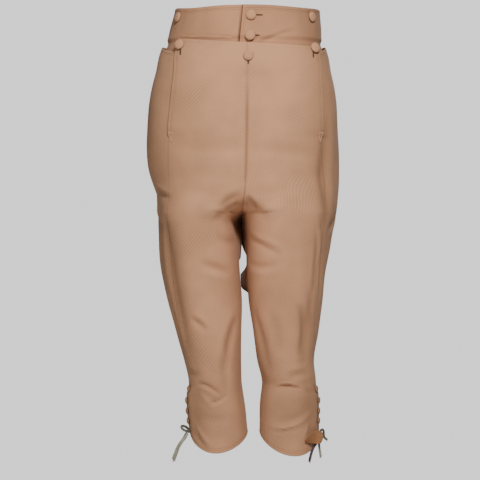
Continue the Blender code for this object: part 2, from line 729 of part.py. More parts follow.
def make_knot(name, centre):
    mesh = bpy.data.meshes.new(name)
    body = bmesh.new()
    bmesh.ops.create_uvsphere(
        body, u_segments=KNOT_SEGMENTS, v_segments=KNOT_RINGS, radius=KNOT_RADIUS * MM
    )
    body.to_mesh(mesh)
    body.free()
    mesh.shade_smooth()
    place(bpy.data.objects.new(name, mesh), "olive_ribbon").location = Vector(centre) * MM


def make_materials():
    finishes = (
        ("ribbed_cloth", CLOTH_COLOUR, 0.85),
        ("covered_button", BUTTON_COLOUR, 0.8),
        ("facing", FACING_COLOUR, 0.8),
        ("olive_ribbon", OLIVE_RIBBON_COLOUR, 0.6),
        ("dark_ribbon", DARK_RIBBON_COLOUR, 0.6),
    )
    for name, colour, roughness in finishes:
        material = bpy.data.materials.new(name)
        material.use_nodes = True
        shader = material.node_tree.nodes["Principled BSDF"]
        shader.inputs["Base Color"].default_value = colour
        shader.inputs["Roughness"].default_value = roughness
        shader.inputs["Metallic"].default_value = 0.0


def main():
    for obj in list(bpy.data.objects):
        bpy.data.objects.remove(obj)
    collection = bpy.data.collections.new("knee_breeches")
    bpy.context.scene.collection.children.link(collection)
    make_materials()
    for side in (-1, 1):
        make_front(side)
        make_back(side)
        make_waistband(side)
        make_stay(side)
    make_knee_flap()
    make_buttons()
    for name in RIBBON_ROUTES:
        make_ribbon(name)
    make_knot("knot_right", KNOT_RIGHT)
    make_knot("knot_left", KNOT_LEFT)


main()
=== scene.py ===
"""Looks of the fall-front knee breeches: cut pieces of ribbed drill, sewn edges, buttons and ties.

The surfaces are worked out in millimetres with numpy, in the frame of the CAD model: +Z up,
the wearer faces -Y, the wearer's left is +X. Side 1 is the wearer's left and -1 the right.
"""

import math
from collections import namedtuple

import bpy
import numpy as np
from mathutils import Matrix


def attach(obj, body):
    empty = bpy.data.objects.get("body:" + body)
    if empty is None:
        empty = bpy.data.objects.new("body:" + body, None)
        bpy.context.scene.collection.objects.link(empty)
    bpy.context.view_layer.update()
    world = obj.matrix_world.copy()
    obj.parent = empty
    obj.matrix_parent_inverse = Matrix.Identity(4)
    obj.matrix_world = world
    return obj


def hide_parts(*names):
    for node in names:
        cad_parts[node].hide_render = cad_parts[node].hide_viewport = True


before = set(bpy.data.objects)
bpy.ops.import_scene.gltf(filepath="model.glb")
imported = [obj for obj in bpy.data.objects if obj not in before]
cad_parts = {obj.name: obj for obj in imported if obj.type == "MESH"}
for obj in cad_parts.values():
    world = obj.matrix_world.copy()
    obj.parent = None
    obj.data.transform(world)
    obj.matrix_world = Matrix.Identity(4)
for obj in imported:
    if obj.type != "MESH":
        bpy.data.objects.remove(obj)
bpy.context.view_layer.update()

MM = 0.001
SIDES = (-1, 1)
FULL_TURN = 2 * math.pi
CLOTH_LIE = "cloth_lie"


def table(columns, *rows):
    """Rows of numbers under named columns."""
    row = namedtuple("Row", columns)
    return [row(*numbers) for numbers in rows]


def of_side(rows, side):
    return [row for row in rows if row.side == side]


def sided(side, name=""):
    """A name with its side, or the side alone."""
    return (name and name + "_") + ("left" if side > 0 else "right")


# Form of the worn cloth, as the CAD model has it

CLOTH = 1.8
BAND_CLOTH = 2.4
BAND_TOP = 32.0
BAND_FOOT_BEHIND = -34.0
BAND_FOOT_UNDER_FALL = -80.0
BAND_SINK_TOP = -24.0
BAND_SINK_FOOT = -31.0
FORK = -334.0
SLIT_FOOT = -201.0
KNEE_OPENING_TOP = -642.0
HEM_AT_SIDES = -727.0
HEM_DROP_FRONT = {-1: 35.0, 1: 40.0}
HEM_DROP_BEHIND = 12.0
HEM_STARTS_TO_SLOPE = -655.0
FRONT_RISE = 66.0
BACK_RISE = 150.0
FORK_POWER = 1.6
ARCH_HEIGHT = 20.0
BACK_SQUARENESS = 2.1
INSEAM_SETBACK = 0.002
FALL_LIFT = 3.0
FALL_TOP_MIDDLE = -36.5
FALL_TOP_SLOPE = -9.3
FALL_TOP_SAG = 4.8
FALL_UNDERLAP = 15.0
KNEE_LIFT = 2.5
KNEE_UNDERLAP = 13.0
BAND_OVERLAP_LIFT = 2.8
BAND_RECESS = 3.6
BAND_OVERLAP = 7.0
BAND_OVERLAP_SLANT = 8.0
BAND_UNDERLAP = 21.0
POCKET_MOUTH = {-1: 5.0, 1: 4.5}
POCKET_MOUTH_START = math.radians(-34)
POCKET_MOUTH_SETBACK = math.radians(5)
SLIT_EASE = 1.3
EDGE_RISE = 16.0
HEM_INSET = 5.4
SIDE_SEAM_SHADE = 0.35
TUCK_FROM = (-112.0, -21.0)
TUCK_TO = (-27.0, -25.5)
BAND_SINKS = (math.radians(-54), math.radians(-46))
BAND_DEEPENS = (math.radians(-39), math.radians(-27))
BAND_DEPTH = BAND_TOP - BAND_FOOT_BEHIND
SIDE_TOP_DIP = 14.0
FACING_RISE = 30.0
NO_EDGE = 99.0
STITCH_RISE = 0.12
RIBS_START = math.radians(80)
# Lines of a panel's grid beside its ends, in millimetres from the end: plain, and close for a hem
RIM_LINES = (0.0, 0.27, 0.9)
HEM_LINES = RIM_LINES + (2.4, 3.8, 4.6, 5.1, 5.5, 6.0, 6.7, 8.0)
LINE_GAP = 1.8
PANEL_ROWS = 256
BAND_ROWS = 50
# Columns of a piece's grid and about how wide it is
COLUMNS = {"front": (80, 200.0), "back": (120, 290.0), "waistband": (190, 390.0)}
# Share of its thickness that cloth keeps at its rim
FREE_RIM = 0.4
LAP_RIM = 0.6
BAND_FOOT_RIM = 0.8
THIN_RIM = 0.1
FULL_RIM = 1.0
TACK_RISE = 0.25
HOLE_RISE = 0.15

SECTIONS = table(
    "height outer_right outer_left inner_right inner_left middle front back side square",
    (60, -122, 128, 0, 0, 0, -99, 99, 0, 2.4),
    (33, -128, 130, 0, 0, 0, -101, 101, 0, 2.4),
    (0, -137, 133, 0, 0, 0, -104, 103, 0, 2.4),
    (-34, -146, 136, 0, 0, 0, -108, 107, 0, 2.5),
    (-58, -156, 145, 0, 0, 0, -110, 113, 0, 2.6),
    (-85, -164, 152, 0, 0, 0, -112, 121, 0, 2.7),
    (-130, -171, 159, 0, 0, 0, -114, 134, 0, 2.7),
    (-202, -173, 163, -7, 5, -1, -113, 146, 0, 2.6),
    (-247, -170, 164, -8, 4, -2, -110, 148, 0, 2.5),
    (-292, -163, 164, -11, 2, -4, -105, 139, 2, 2.4),
    (-337, -162, 161, -22, -5, -9, -98, 122, 4, 2.3),
    (-382, -159, 152, -17, -1, -9, -92, 103, 3, 2.2),
    (-436, -154, 141, -13, 0, -12, -86, 88, 0, 2.1),
    (-490, -143, 136, -9, 3, -8, -79, 76, -2, 2.1),
    (-544, -128.5, 129.5, -10, 11, 0, -72, 66, -3, 2.1),
    (-598, -113, 120.5, -11, 19, 4, -66, 58, -3, 2.1),
    (-634, -106, 125, -9, 26, 8, -63, 53, -4, 2.1),
    (-670, -106, 126, -5, 24, 9, -59, 53, -2, 2.1),
    (-706, -103, 126, -1, 23, 11, -52, 57, 3, 2.0),
    (-742, -98, 127, 2, 23, 12, -46, 60, 7, 2.0),
    (-790, -92, 127, 3, 23, 13, -42, 62, 10, 2.0),
)
SEAMS = table(
    "height right left",
    (0, 0.84, 0.89),
    (-45, 0.83, 0.89),
    (-85, 0.78, 0.85),
    (-120, 0.773, 0.83),
    (-201, 0.80, 0.825),
    (-350, 0.868, 0.88),
    (-490, 0.893, 0.90),
    (-580, 0.955, 0.955),
    (-640, 0.9936, 0.9936),
    (-790, 0.9936, 0.9936),
)
BAND_TOP_DIPS = table(
    "angle right left",
    (-90, 0.0, 0.0),
    (-30, 0.0, 1.0),
    (10, 0.0, 2.5),
    (48, 5.0, 4.5),
    (75, 2.5, 2.5),
    (100, 1.5, 1.5),
)
SWELLS = table(
    "name side height up down angle wide deep",
    ("seat_bag", -1, -212, 105, 88, -30, 34, 16),
    ("seat_bag", 1, -215, 105, 90, -34, 30, 6),
    ("fork_bag", -1, -356, 44, 64, -163, 13, 20),
    ("fork_bag", 1, -354, 44, 56, -163, 13, 15),
    ("thigh_bag", 1, -450, 16, 28, -163, 12, 18),
    ("side_crease", -1, -330, 80, 260, 22, 13, -2.5),
    ("side_crease", 1, -360, 90, 200, 27, 13, -2.5),
    ("knee_hollow", -1, -662, 22, 30, 95, 60, -3.0),
    ("knee_hollow", 1, -640, 10, 22, 90, 55, -3.5),
)

# Folds that the worn cloth has fallen into. Each runs through three points, given as the angle
# round the leg in degrees and the height. width and depth are millimetres, and a minus depth is
# a ridge. sharp is 1 for a crease with a keen floor and 2 for a soft trough. ridge is the roll
# that stands beside it: to the right of a fold that runs down, or above one that runs across.
FOLD_STEPS = 40
ROLL_AT = 1.7
ROLL_WIDTH = 0.95
FOLDS = table(
    "side start middle end width depth sharp ridge",
    (-1, (43, -335), (44, -435), (43, -590), 11, 4.6, 2.0, -0.2),
    (-1, (55, -350), (55, -440), (52, -600), 15, 2.4, 2.0, 0.0),
    (-1, (90, -421), (114, -430), (142, -439), 8, 3.6, 1.8, -0.5),
    (-1, (64, -522), (78, -530), (88, -546), 6, 3.4, 1.7, 0.4),
    (-1, (150, -516), (129, -558), (117, -618), 9, 4.6, 2.0, -0.3),
    (-1, (108, -585), (111, -616), (112, -655), 8, 2.4, 2.0, 0.3),
    (-1, (50, -638), (76, -641), (103, -660), 4, 3.8, 1.5, -0.4),
    (-1, (76, -671), (92, -668), (117, -655), 3.6, 3.2, 1.4, -0.4),
    (-1, (54, -652), (72, -666), (88, -681), 5, -1.6, 1.8, 0.0),
    (-1, (37, -708), (54, -731), (76, -749), 4, -2.4, 1.6, 0.0),
    (-1, (18, -717), (42, -739), (64, -755), 3.5, 1.8, 1.6, 0.0),
    (-1, (107, -326), (102, -311), (106, -302), 7, 3.8, 1.8, 0.3),
    (-1, (132, -306), (120, -324), (124, -352), 11, 3.6, 2.0, 0.0),
    (-1, (96, -309), (76, -297), (50, -296), 12, 1.3, 2.0, -0.4),
    (-1, (86, -324), (105, -331), (124, -331), 12, -4.0, 2.0, 0.0),
    (-1, (40, -204), (70, -218), (96, -214), 15, 2.0, 2.0, -0.4),
    (-1, (4, -290), (26, -302), (48, -309), 6, 3.0, 1.5, 0.6),
    (-1, (-6, -334), (14, -352), (36, -360), 7, 2.6, 1.8, 0.4),
    (-1, (28, -470), (22, -520), (24, -590), 7, 2.0, 2.0, -0.5),
    (-1, (118, -372), (140, -384), (164, -380), 8, 2.2, 1.8, 0.4),
    (-1, (20, -612), (44, -622), (66, -614), 7, 1.6, 2.0, 0.5),
    (-1, (112, -690), (84, -700), (52, -692), 10, 1.4, 2.0, 0.5),
    (1, (38, -150), (39, -276), (50, -372), 12, 4.5, 2.0, 0.4),
    (1, (56, -340), (33, -421), (31, -500), 5.5, 2.6, 1.8, -0.6),
    (1, (62, -345), (47, -421), (47, -480), 5.5, 2.2, 1.8, -0.4),
    (1, (73, -494), (62, -532), (63, -592), 7.5, 4.2, 1.8, 0.2),
    (1, (50, -450), (53, -545), (56, -612), 10, 3.4, 2.0, 0.0),
    (1, (152, -500), (138, -562), (128, -622), 11, 3.4, 2.0, -0.2),
    (1, (158, -378), (124, -393), (98, -409), 6.5, 2.8, 1.7, 0.5),
    (1, (162, -420), (127, -428), (98, -420), 8, 2.2, 2.0, -0.4),
    (1, (122, -644), (94, -641), (66, -646), 2.8, 4.4, 1.3, 0.5),
    (1, (94, -627), (72, -620), (44, -618), 6.5, 3.0, 1.8, 0.5),
    (1, (58, -646), (40, -652), (20, -648), 5, 2.0, 1.6, 0.4),
    (1, (134, -713), (86, -713), (34, -684), 4, -2.8, 1.6, 0.0),
    (1, (133, -721), (96, -721), (60, -712), 3, 2.0, 1.6, 0.0),
    (1, (63, -736), (54, -722), (44, -706), 3.4, -2.0, 1.7, 0.0),
    (1, (128, -702), (90, -700), (50, -682), 8, 1.6, 2.0, 0.0),
    (1, (110, -306), (114, -315), (122, -328), 6, 3.2, 1.8, 0.3),
    (1, (130, -306), (122, -322), (126, -350), 10, 3.0, 2.0, 0.0),
    (1, (104, -306), (84, -294), (58, -286), 12, 1.2, 2.0, -0.4),
    (1, (86, -322), (108, -330), (128, -331), 12, -4.2, 2.0, 0.0),
    (1, (94, -214), (70, -224), (42, -222), 15, 2.0, 2.0, -0.4),
    (1, (120, -500), (106, -540), (100, -590), 12, 1.8, 2.0, -0.4),
    (1, (2, -330), (16, -352), (34, -366), 7, 2.4, 1.8, 0.4),
    # behind: the seat falls away in folds, and the cloth breaks behind the knees
    (-1, (-34, -318), (-84, -332), (-150, -318), 8, 4.0, 1.7, 0.5),
    (-1, (-52, -350), (-98, -366), (-140, -352), 10, 3.2, 2.0, 0.5),
    (-1, (-60, -392), (-92, -402), (-118, -396), 9, 2.0, 2.0, 0.4),
    (-1, (-44, -600), (-88, -616), (-134, -598), 6, 3.2, 1.6, 0.5),
    (-1, (-58, -632), (-96, -642), (-128, -634), 5, 2.8, 1.6, -0.5),
    (-1, (-70, -578), (-98, -588), (-118, -580), 7, 2.0, 2.0, 0.4),
    (-1, (-100, -660), (-80, -672), (-52, -668), 6, 1.8, 2.0, 0.4),
    (-1, (-112, -160), (-92, -232), (-70, -292), 12, 2.6, 2.0, -0.4),
    (-1, (-62, -120), (-54, -180), (-56, -250), 12, 2.0, 2.0, 0.4),
    (-1, (-150, -372), (-142, -440), (-136, -520), 9, 2.2, 2.0, 0.4),
    (-1, (-30, -420), (-36, -500), (-30, -570), 9, 2.2, 2.0, 0.4),
    (1, (-36, -316), (-90, -328), (-152, -312), 8, 4.0, 1.7, 0.5),
    (1, (-50, -354), (-88, -362), (-136, -348), 9, 3.0, 2.0, 0.5),
    (1, (-64, -384), (-96, -396), (-124, -388), 10, 2.2, 2.0, 0.4),
    (1, (-40, -594), (-92, -606), (-132, -590), 6, 3.2, 1.6, 0.5),
    (1, (-54, -624), (-88, -634), (-120, -626), 5, 2.8, 1.6, -0.5),
    (1, (-64, -652), (-98, -662), (-124, -654), 6, 2.0, 1.8, 0.4),
    (1, (-110, -170), (-94, -240), (-76, -296), 11, 2.4, 2.0, 0.4),
    (1, (-60, -110), (-58, -170), (-48, -240), 13, 2.0, 2.0, -0.4),
    (1, (-148, -380), (-138, -450), (-140, -530), 10, 2.0, 2.0, -0.4),
    (1, (-34, -430), (-30, -510), (-36, -580), 9, 2.0, 2.0, 0.4),
)

# Small gathers where the full seat is taken into the waistband
GATHERS = table(
    "side angle length depth",
    (-1, -96, 66, 3.2),
    (-1, -86, 48, 2.4),
    (-1, -78, 62, 3.0),
    (-1, -68, 42, 2.2),
    (-1, -57, 54, 2.6),
    (1, -95, 52, 2.7),
    (1, -85, 64, 3.2),
    (1, -74, 44, 2.3),
    (1, -66, 58, 2.8),
    (1, -55, 40, 2.1),
)
# Slow unevenness: waves round the leg and up it
RIPPLES = table(
    "round up shift size",
    (2.3, 0.021, 0.4, 0.50),
    (3.7, -0.013, 2.1, 0.38),
    (-1.9, 0.034, 4.0, 0.32),
    (5.3, 0.008, 1.2, 0.24),
)

# Ribbons: the same points as the CAD model's, in metres

RIBBON_WIDTH = 4.0
RIBBON_THICK = 0.5
KNOT_RADIUS = 3.6
KNOTS = {"knot_right": (-104.6, -12.0, -725.0), "knot_left": (131.8, -6.5, -738.0)}
RIBBON_ROUTES = {
    "ribbon_loop_right": (
        (-0.1048, -0.0078, -0.7233), (-0.1076, -0.0035, -0.7201), (-0.1120, -0.0026, -0.7172),
        (-0.1170, -0.0070, -0.7162), (-0.1173, -0.0138, -0.7190), (-0.1133, -0.0169, -0.7224),
        (-0.1078, -0.0156, -0.7248),
    ),
    "ribbon_tail_right_front": (
        (-0.1064, -0.0134, -0.7289), (-0.1120, -0.0160, -0.7380), (-0.1220, -0.0170, -0.7530),
        (-0.1315, -0.0165, -0.7790),
    ),
    "ribbon_tail_right_back": (
        (-0.1078, -0.0090, -0.7276), (-0.1140, -0.0113, -0.7380), (-0.1240, -0.0123, -0.7525),
        (-0.1335, -0.0120, -0.7760),
    ),
    "ribbon_loop_left": (
        (0.1303, -0.0100, -0.7350), (0.1304, -0.0115, -0.7291), (0.1326, -0.0089, -0.7241),
        (0.1356, -0.0037, -0.7228), (0.1377, 0.0010, -0.7261), (0.1379, 0.0025, -0.7314),
        (0.1386, 0.0012, -0.7362), (0.1412, -0.0010, -0.7396), (0.1450, -0.0030, -0.7416),
    ),
    "ribbon_tail_left_back": (
        (0.1306, -0.0070, -0.7424), (0.1293, -0.0075, -0.7490), (0.1303, -0.0080, -0.7580),
        (0.1325, -0.0083, -0.7728),
    ),
    "ribbon_tail_left_front": (
        (0.1302, -0.0106, -0.7395), (0.1265, -0.0195, -0.7430), (0.1225, -0.0265, -0.7475),
        (0.1185, -0.0305, -0.7530), (0.1145, -0.0330, -0.7630), (0.1108, -0.0345, -0.7780),
    ),
}

# Buttons and small parts

BUTTON_RADIUS = 9.0
KNEE_BUTTON_RADIUS = 6.2
SHANK_LENGTH = 1.0
SHANK_GAP = 0.5
KNEE_BUTTON_HEIGHTS = (-648.0, -669.0, -688.0, -706.0)
KNEE_BUTTON_SETBACK = math.radians(15)
BUTTON_SIDES = 54
BUTTON_TUCKS = 18
RIM_HEIGHT = 0.20
DOME_HEIGHT = 0.27
KNOT_SIDES = 72
# Below a button's rim: how far out, how high and how deeply tucked, in shares of its radius
BUTTON_UNDERSIDE = (
    (1.0, 0.995, 0.94, 0.82, 0.62, 0.40, 0.24, 0.24),
    (0.155, 0.10, 0.035, 0.0, 0.03, 0.02, 0.0, 0.0),
    (0.0, 0.1, 0.5, 1.0, 1.0, 0.5, 0.0, 0.0),
)
BUTTONS = table(
    "name side across height lift forward",
    ("waist_button_upper", 1, 6.6, 11.5, BAND_OVERLAP_LIFT, 0.0),
    ("waist_button_lower", 1, 4.9, -24.5, BAND_OVERLAP_LIFT, 0.0),
    ("fall_button_middle", 1, 1.8, -60.0, FALL_LIFT, 0.0),
    ("fall_button_right", -1, 115.0, -39.0, FALL_LIFT, 0.3),
    ("fall_button_left", 1, 115.0, -44.5, FALL_LIFT, 0.3),
    ("brace_button_right", -1, 121.0, 12.5, 0.0, 0.0),
    ("brace_button_left", 1, 113.5, 12.5, 0.0, 0.0),
    ("brace_button_back_right", -1, 42.0, 12.0, 0.0, 0.0),
    ("brace_button_back_left", 1, 42.0, 12.0, 0.0, 0.0),
)
# A worked buttonhole starts under its button and runs that far across and up
HOLES = table(
    "name side across height lift run_across run_up",
    ("waist_hole_upper", 1, 9.0, 11.5, BAND_OVERLAP_LIFT, 17.5, 0.0),
    ("waist_hole_lower", 1, 7.0, -24.5, BAND_OVERLAP_LIFT, 13.5, 0.0),
    ("fall_hole_middle", 1, 1.8, -62.0, FALL_LIFT, 0.0, -13.0),
    ("fall_hole_right", -1, 115.0, -42.0, FALL_LIFT, 0.0, -15.0),
    ("fall_hole_left", 1, 114.0, -47.0, FALL_LIFT, 0.0, -14.0),
)
STAY_CLOTH = 1.0
STAY_WIDTH = 12.0
STAY_POINT = 1.2
STAY_SETBACK = 1.0
STAY_POINT_SETBACK = 6.4
STAY_RISE = 9.0
STAY_GAP = 0.1
FLAP_CLOTH = 1.2
FLAP = table(
    "at angle low high lift",
    (0, 59, -743.0, -739.5, 2.2),
    (1, 50, -744.0, -731.0, 5.2),
    (2, 42, -745.0, -724.5, 8.3),
    (3, 34, -746.5, -722.0, 10.6),
    (4, 27, -746.0, -723.5, 12.2),
    (5, 20, -740.0, -727.5, 13.0),
)


# Curves and vectors


def read_column(rows, name, at):
    """A smooth curve through a table: cubic pieces between its rows, with the slope at each row
    taken from the rows beside it."""
    rows = sorted(rows)
    knots = np.array([row[0] for row in rows], float)
    values = np.array([getattr(row, name) for row in rows], float)
    slopes = np.gradient(values, knots)
    low = np.clip(np.searchsorted(knots, at) - 1, 0, len(knots) - 2)
    span = knots[low + 1] - knots[low]
    t = np.clip((at - knots[low]) / span, 0, 1)
    return (
        values[low] * (1 + 2 * t) * (1 - t) ** 2
        + slopes[low] * span * t * (1 - t) ** 2
        + values[low + 1] * t**2 * (3 - 2 * t)
        + slopes[low + 1] * span * t**2 * (t - 1)
    )


def ramp(value, low, high):
    """0 below low and 1 above high, with a straight rise between."""
    return np.clip((np.asarray(value, float) - low) / (high - low), 0, 1)


def step(value, low, high):
    """0 below low and 1 above high, rising as 3t squared less 2t cubed."""
    t = ramp(value, low, high)
    return t * t * (3 - 2 * t)


def bell(value):
    """e to the minus of a value squared."""
    return np.exp(-(value**2))


def signed_power(value, power):
    """The size of a value raised to a power, with the value's own sign."""
    return np.sign(value) * np.abs(value) ** power


def unit(vectors):
    """Vectors divided by their own lengths."""
    return vectors / np.maximum(np.linalg.norm(vectors, axis=-1, keepdims=True), 1e-9)


def turns(count):
    """Even angles once round."""
    return np.linspace(0, FULL_TURN, count + 1)[:-1]


def run_of(points):
    """How far along a path each of its points lies."""
    return np.concatenate([[0], np.cumsum(np.linalg.norm(np.diff(points, axis=0), axis=1))])


def read_path(even, run, points):
    """Points of a path at even lengths along it."""
    return np.stack([np.interp(even, run, points[:, axis]) for axis in range(3)], axis=1)


# The worn form


def swell(side, height, angle):
    """Sum of the table's swells: each is its depth times a bell round the leg, times a bell above
    its height and one less a fourth power, or a squared parabola, below it."""
    degrees = np.degrees(angle)
    total = np.zeros(np.broadcast(height, angle).shape)
    for row in of_side(SWELLS, side):
        above = bell((height - row.height) / row.up)
        fall = np.clip((row.height - height) / row.down, 0, 1)
        below = 1 - fall**4 if row.name.endswith("bag") else (1 - fall**2) ** 2
        turn = (degrees - row.angle + 180) % 360 - 180
        total = total + row.deep * np.where(height > row.height, above, below) * bell(turn / row.wide)
    return total


def reaches(side, height):
    """The middle plane, and how far a section's outer and inner sides lie from it."""
    middle = read_column(SECTIONS, "middle", height)
    outer, inner = (side * (read_column(SECTIONS, sided(side, name), height) - middle)
                    for name in ("outer", "inner"))
    return middle, outer, inner


def section(side, height, angle):
    """Middle plane, centre and half width of a section. Above the fork the half width is the
    reach over one plus how far the legs are parted, and the centre moves in by as much."""
    middle, reach, inner = reaches(side, height)
    arch = ramp(FORK - height, 0, ARCH_HEIGHT)
    inner = inner * arch * (2 - arch)
    rise = np.where(angle > 0, FRONT_RISE, BACK_RISE)
    parted = (1 - np.clip((height - FORK) / rise, 0, 1)) ** FORK_POWER
    half = np.where(height > FORK, reach / (1 + parted), (reach - inner) / 2)
    centre = np.where(height > FORK, half * parted, (reach + inner) / 2)
    return middle, centre, half


def squareness(height, angle):
    return np.where(angle > 0, read_column(SECTIONS, "square", height), BACK_SQUARENESS)


def form(side, height, angle, lift=0.0, clipped=True):
    """Superellipse sections stacked by height. Across is the half width times the cosine, and
    along the depth times the sine, each raised to two over the squareness. Lift and swell
    move a point straight out from the section's centre. Angle 0 is the outer side, a quarter
    turn the front, a half turn the inside of the leg, and minus is behind."""
    height, angle = np.broadcast_arrays(np.asarray(height, float), np.asarray(angle, float))
    middle, centre, half = section(side, height, angle)
    front, back, widest = (read_column(SECTIONS, name, height) for name in ("front", "back", "side"))
    depth = np.where(angle > 0, widest - front, back - widest)
    power = 2 / squareness(height, angle)
    across = half * signed_power(np.cos(angle), power)
    along = depth * signed_power(np.sin(angle), power)
    grow = 1 + (swell(side, height, angle) + lift) / np.maximum(np.hypot(across, along), 1.0)
    distance = centre + across * grow
    if clipped:
        distance = np.maximum(distance, 0.0)
    return np.stack([middle + side * distance, widest - along * grow, height], axis=-1)


def outward(side, height, angle, lift=0.0, clipped=True):
    """Unit normals of the form, from the cross of two small differences."""
    turn, rise = 0.01, 0.8
    round_it = form(side, height, angle + turn, lift, clipped) - form(
        side, height, angle - turn, lift, clipped)
    up = form(side, height + rise, angle, lift, clipped) - form(
        side, height - rise, angle, lift, clipped)
    return unit(np.cross(up, round_it) * side)


def angle_at(side, height, distance, front=True):
    """The angle whose point lies that far from the middle plane, before or behind."""
    way = 1 if front else -1
    angle = np.full(np.shape(height), way * math.pi / 2)
    _, centre, half = section(side, height, angle)
    share = np.clip((distance - centre) / half, -1, 1)
    return way * np.arccos(signed_power(share, squareness(height, angle) / 2))


def inner_edge(side, height, front):
    """The angle of the centre seam, or of the inseam below the fork."""
    inseam = (math.pi - INSEAM_SETBACK) * (1 if front else -1)
    return np.where(height > FORK, angle_at(side, height, 0.0, front), inseam)


def seam_angle(side, height):
    """The angle of the side seam, which is the fall's free edge above the slit's foot."""
    before = np.ones_like(height)
    _, centre, half = section(side, height, before)
    share = read_column(SEAMS, sided(side), height)
    across = np.clip((share * reaches(side, height)[1] - centre) / half, 0, 1)
    return np.arccos(across ** (squareness(height, before) / 2))


def girth_step(side, height, angle, length=1.0):
    """The change of angle that a length along the section takes."""
    small = 0.02
    chord = form(side, height, angle + small) - form(side, height, angle)
    return length * small / np.maximum(np.linalg.norm(chord, axis=-1), 0.1)


def off_seam(side, rows, length):
    """The angle on each row that lies a length before the side seam, or behind it for a minus."""
    edge = seam_angle(side, rows)
    return edge + girth_step(side, rows, edge, length)


# Laps, folds and edges


def near_seam(side, height, angle, near, far):
    """1 as far from the side seam as near and 0 beyond far, both in degrees."""
    return 1 - step(angle - seam_angle(side, height), math.radians(near), math.radians(far))


def fall_lift(side, height, angle):
    """The fall stands clear of the waistband and of the piece under its free edge."""
    slit = near_seam(side, height, angle, 16, 42) * ramp(height, SLIT_FOOT, SLIT_FOOT + EDGE_RISE)
    over_band = step(height, BAND_FOOT_UNDER_FALL - 24, BAND_FOOT_UNDER_FALL + 12)
    return FALL_LIFT * np.maximum(slit, over_band)


def knee_lift(side, height, angle):
    """The front of the knee opening laps over the back."""
    below = 1 - step(height, KNEE_OPENING_TOP - EDGE_RISE, KNEE_OPENING_TOP)
    return KNEE_LIFT * near_seam(side, height, angle, 18, 45) * below


def pocket_lift(side, height, angle):
    """The loose top edge of the side bows out like a power of a half sine wave."""
    edge = seam_angle(side, height) - POCKET_MOUTH_SETBACK
    span = (angle - POCKET_MOUTH_START) / (edge - POCKET_MOUTH_START)
    bow = np.sin(math.pi * np.clip(span, 0, 1)) ** 1.3
    return POCKET_MOUTH[side] * bow * step(height, -88, -38)


def hem_height(side, height, angle):
    """Rows near the hem drop as a half sine wave round the leg, times a power of the depth."""
    share = np.clip(np.abs(angle) / math.pi, 0, 1)
    drop = np.where(angle > 0, HEM_DROP_FRONT[side], HEM_DROP_BEHIND)
    drop = drop * np.abs(np.sin(math.pi * share**0.83)) ** 1.2
    depth = np.clip((HEM_STARTS_TO_SLOPE - height) / (HEM_STARTS_TO_SLOPE - HEM_AT_SIDES), 0, 1)
    return height - drop * depth**1.5


def fall_top(side, height, angle):
    """Rows near the fall's top edge follow it: a parabola across, lower on the wearer's left."""
    along = side * np.cos(angle)
    top = FALL_TOP_MIDDLE + FALL_TOP_SLOPE * along + FALL_TOP_SAG * along**2
    return height + (top - BAND_FOOT_BEHIND) * step(height, BAND_FOOT_UNDER_FALL, BAND_FOOT_BEHIND)


def side_top(side, height, angle):
    """Rows near the top of the back follow the waistband's foot, and dip to the fall in front."""
    dip = SIDE_TOP_DIP * step(angle, -0.15, seam_angle(side, height))
    return height - dip * step(height, BAND_FOOT_UNDER_FALL, BAND_FOOT_BEHIND)


def top_dip(side, angle):
    return read_column(BAND_TOP_DIPS, sided(side), np.degrees(angle))


def overlap_end(down):
    """Where the waistband's overlapping end lies, past the middle, from its top to its foot."""
    return -BAND_OVERLAP - BAND_OVERLAP_SLANT * down


def fold_depth(side, height, angle):
    """How far the folds move the cloth in (minus) or out, in millimetres.

    Each fold follows a parabola through its three points. At a point of the cloth, u is the
    distance across the fold over its width: the fold is minus its depth times e to the minus
    u to the sharpness, the roll beside it is a bell at u = 1.7, and both fade to the fold's
    ends as a power of a half sine wave.
    """
    points = form(side, height, angle)
    flat = points.reshape(-1, 3)
    total = np.zeros(len(flat))
    t = np.linspace(0, 1, FOLD_STEPS)
    for fold in of_side(FOLDS, side):
        degrees, level = (
            a * (1 - t) * (1 - 2 * t) + b * 4 * t * (1 - t) + c * t * (2 * t - 1)
            for a, b, c in zip(fold.start, fold.middle, fold.end)
        )
        turn = np.radians(degrees)
        path = form(side, level, turn)
        tangent = unit(np.gradient(path, axis=0))
        across_way = unit(np.cross(outward(side, level, turn), tangent))
        reach = 4 * fold.width
        near = np.all((flat > path.min(0) - reach) & (flat < path.max(0) + reach), axis=1)
        if not near.any():
            continue
        offset = flat[near][:, None] - path[None]
        best = np.argmin(np.einsum("ijk,ijk->ij", offset, offset), axis=1)
        offset = offset[np.arange(len(best)), best]
        across = np.einsum("ij,ij->i", offset, across_way[best]) / fold.width
        beyond = np.einsum("ij,ij->i", offset, tangent[best]) / fold.width
        fade = np.sin(math.pi * t[best]) ** 0.8 * np.exp(-np.minimum(beyond**2, 9) * 0.5)
        trough = -np.exp(-(np.abs(across) ** fold.sharp))
        roll = abs(fold.ridge) * bell((across - ROLL_AT * np.sign(fold.ridge)) / ROLL_WIDTH)
        total[near] += fold.depth * (trough + roll) * fade
    return total.reshape(points.shape[:-1])


def gather_depth(side, height, angle):
    """Narrow troughs down from the waistband: a bell round the leg times a fading parabola."""
    total = np.zeros(np.broadcast(height, angle).shape)
    for row in of_side(GATHERS, side):
        down = np.clip((BAND_FOOT_BEHIND - height) / row.length, 0, 1)
        fade = 4 * down * (1 - down) * (1 - 0.6 * down)
        across = (np.degrees(angle) - row.angle) / (2.2 + 2.4 * down)
        total -= row.depth * fade * (bell(across) - 0.5 * bell(across - ROLL_AT))
    return total


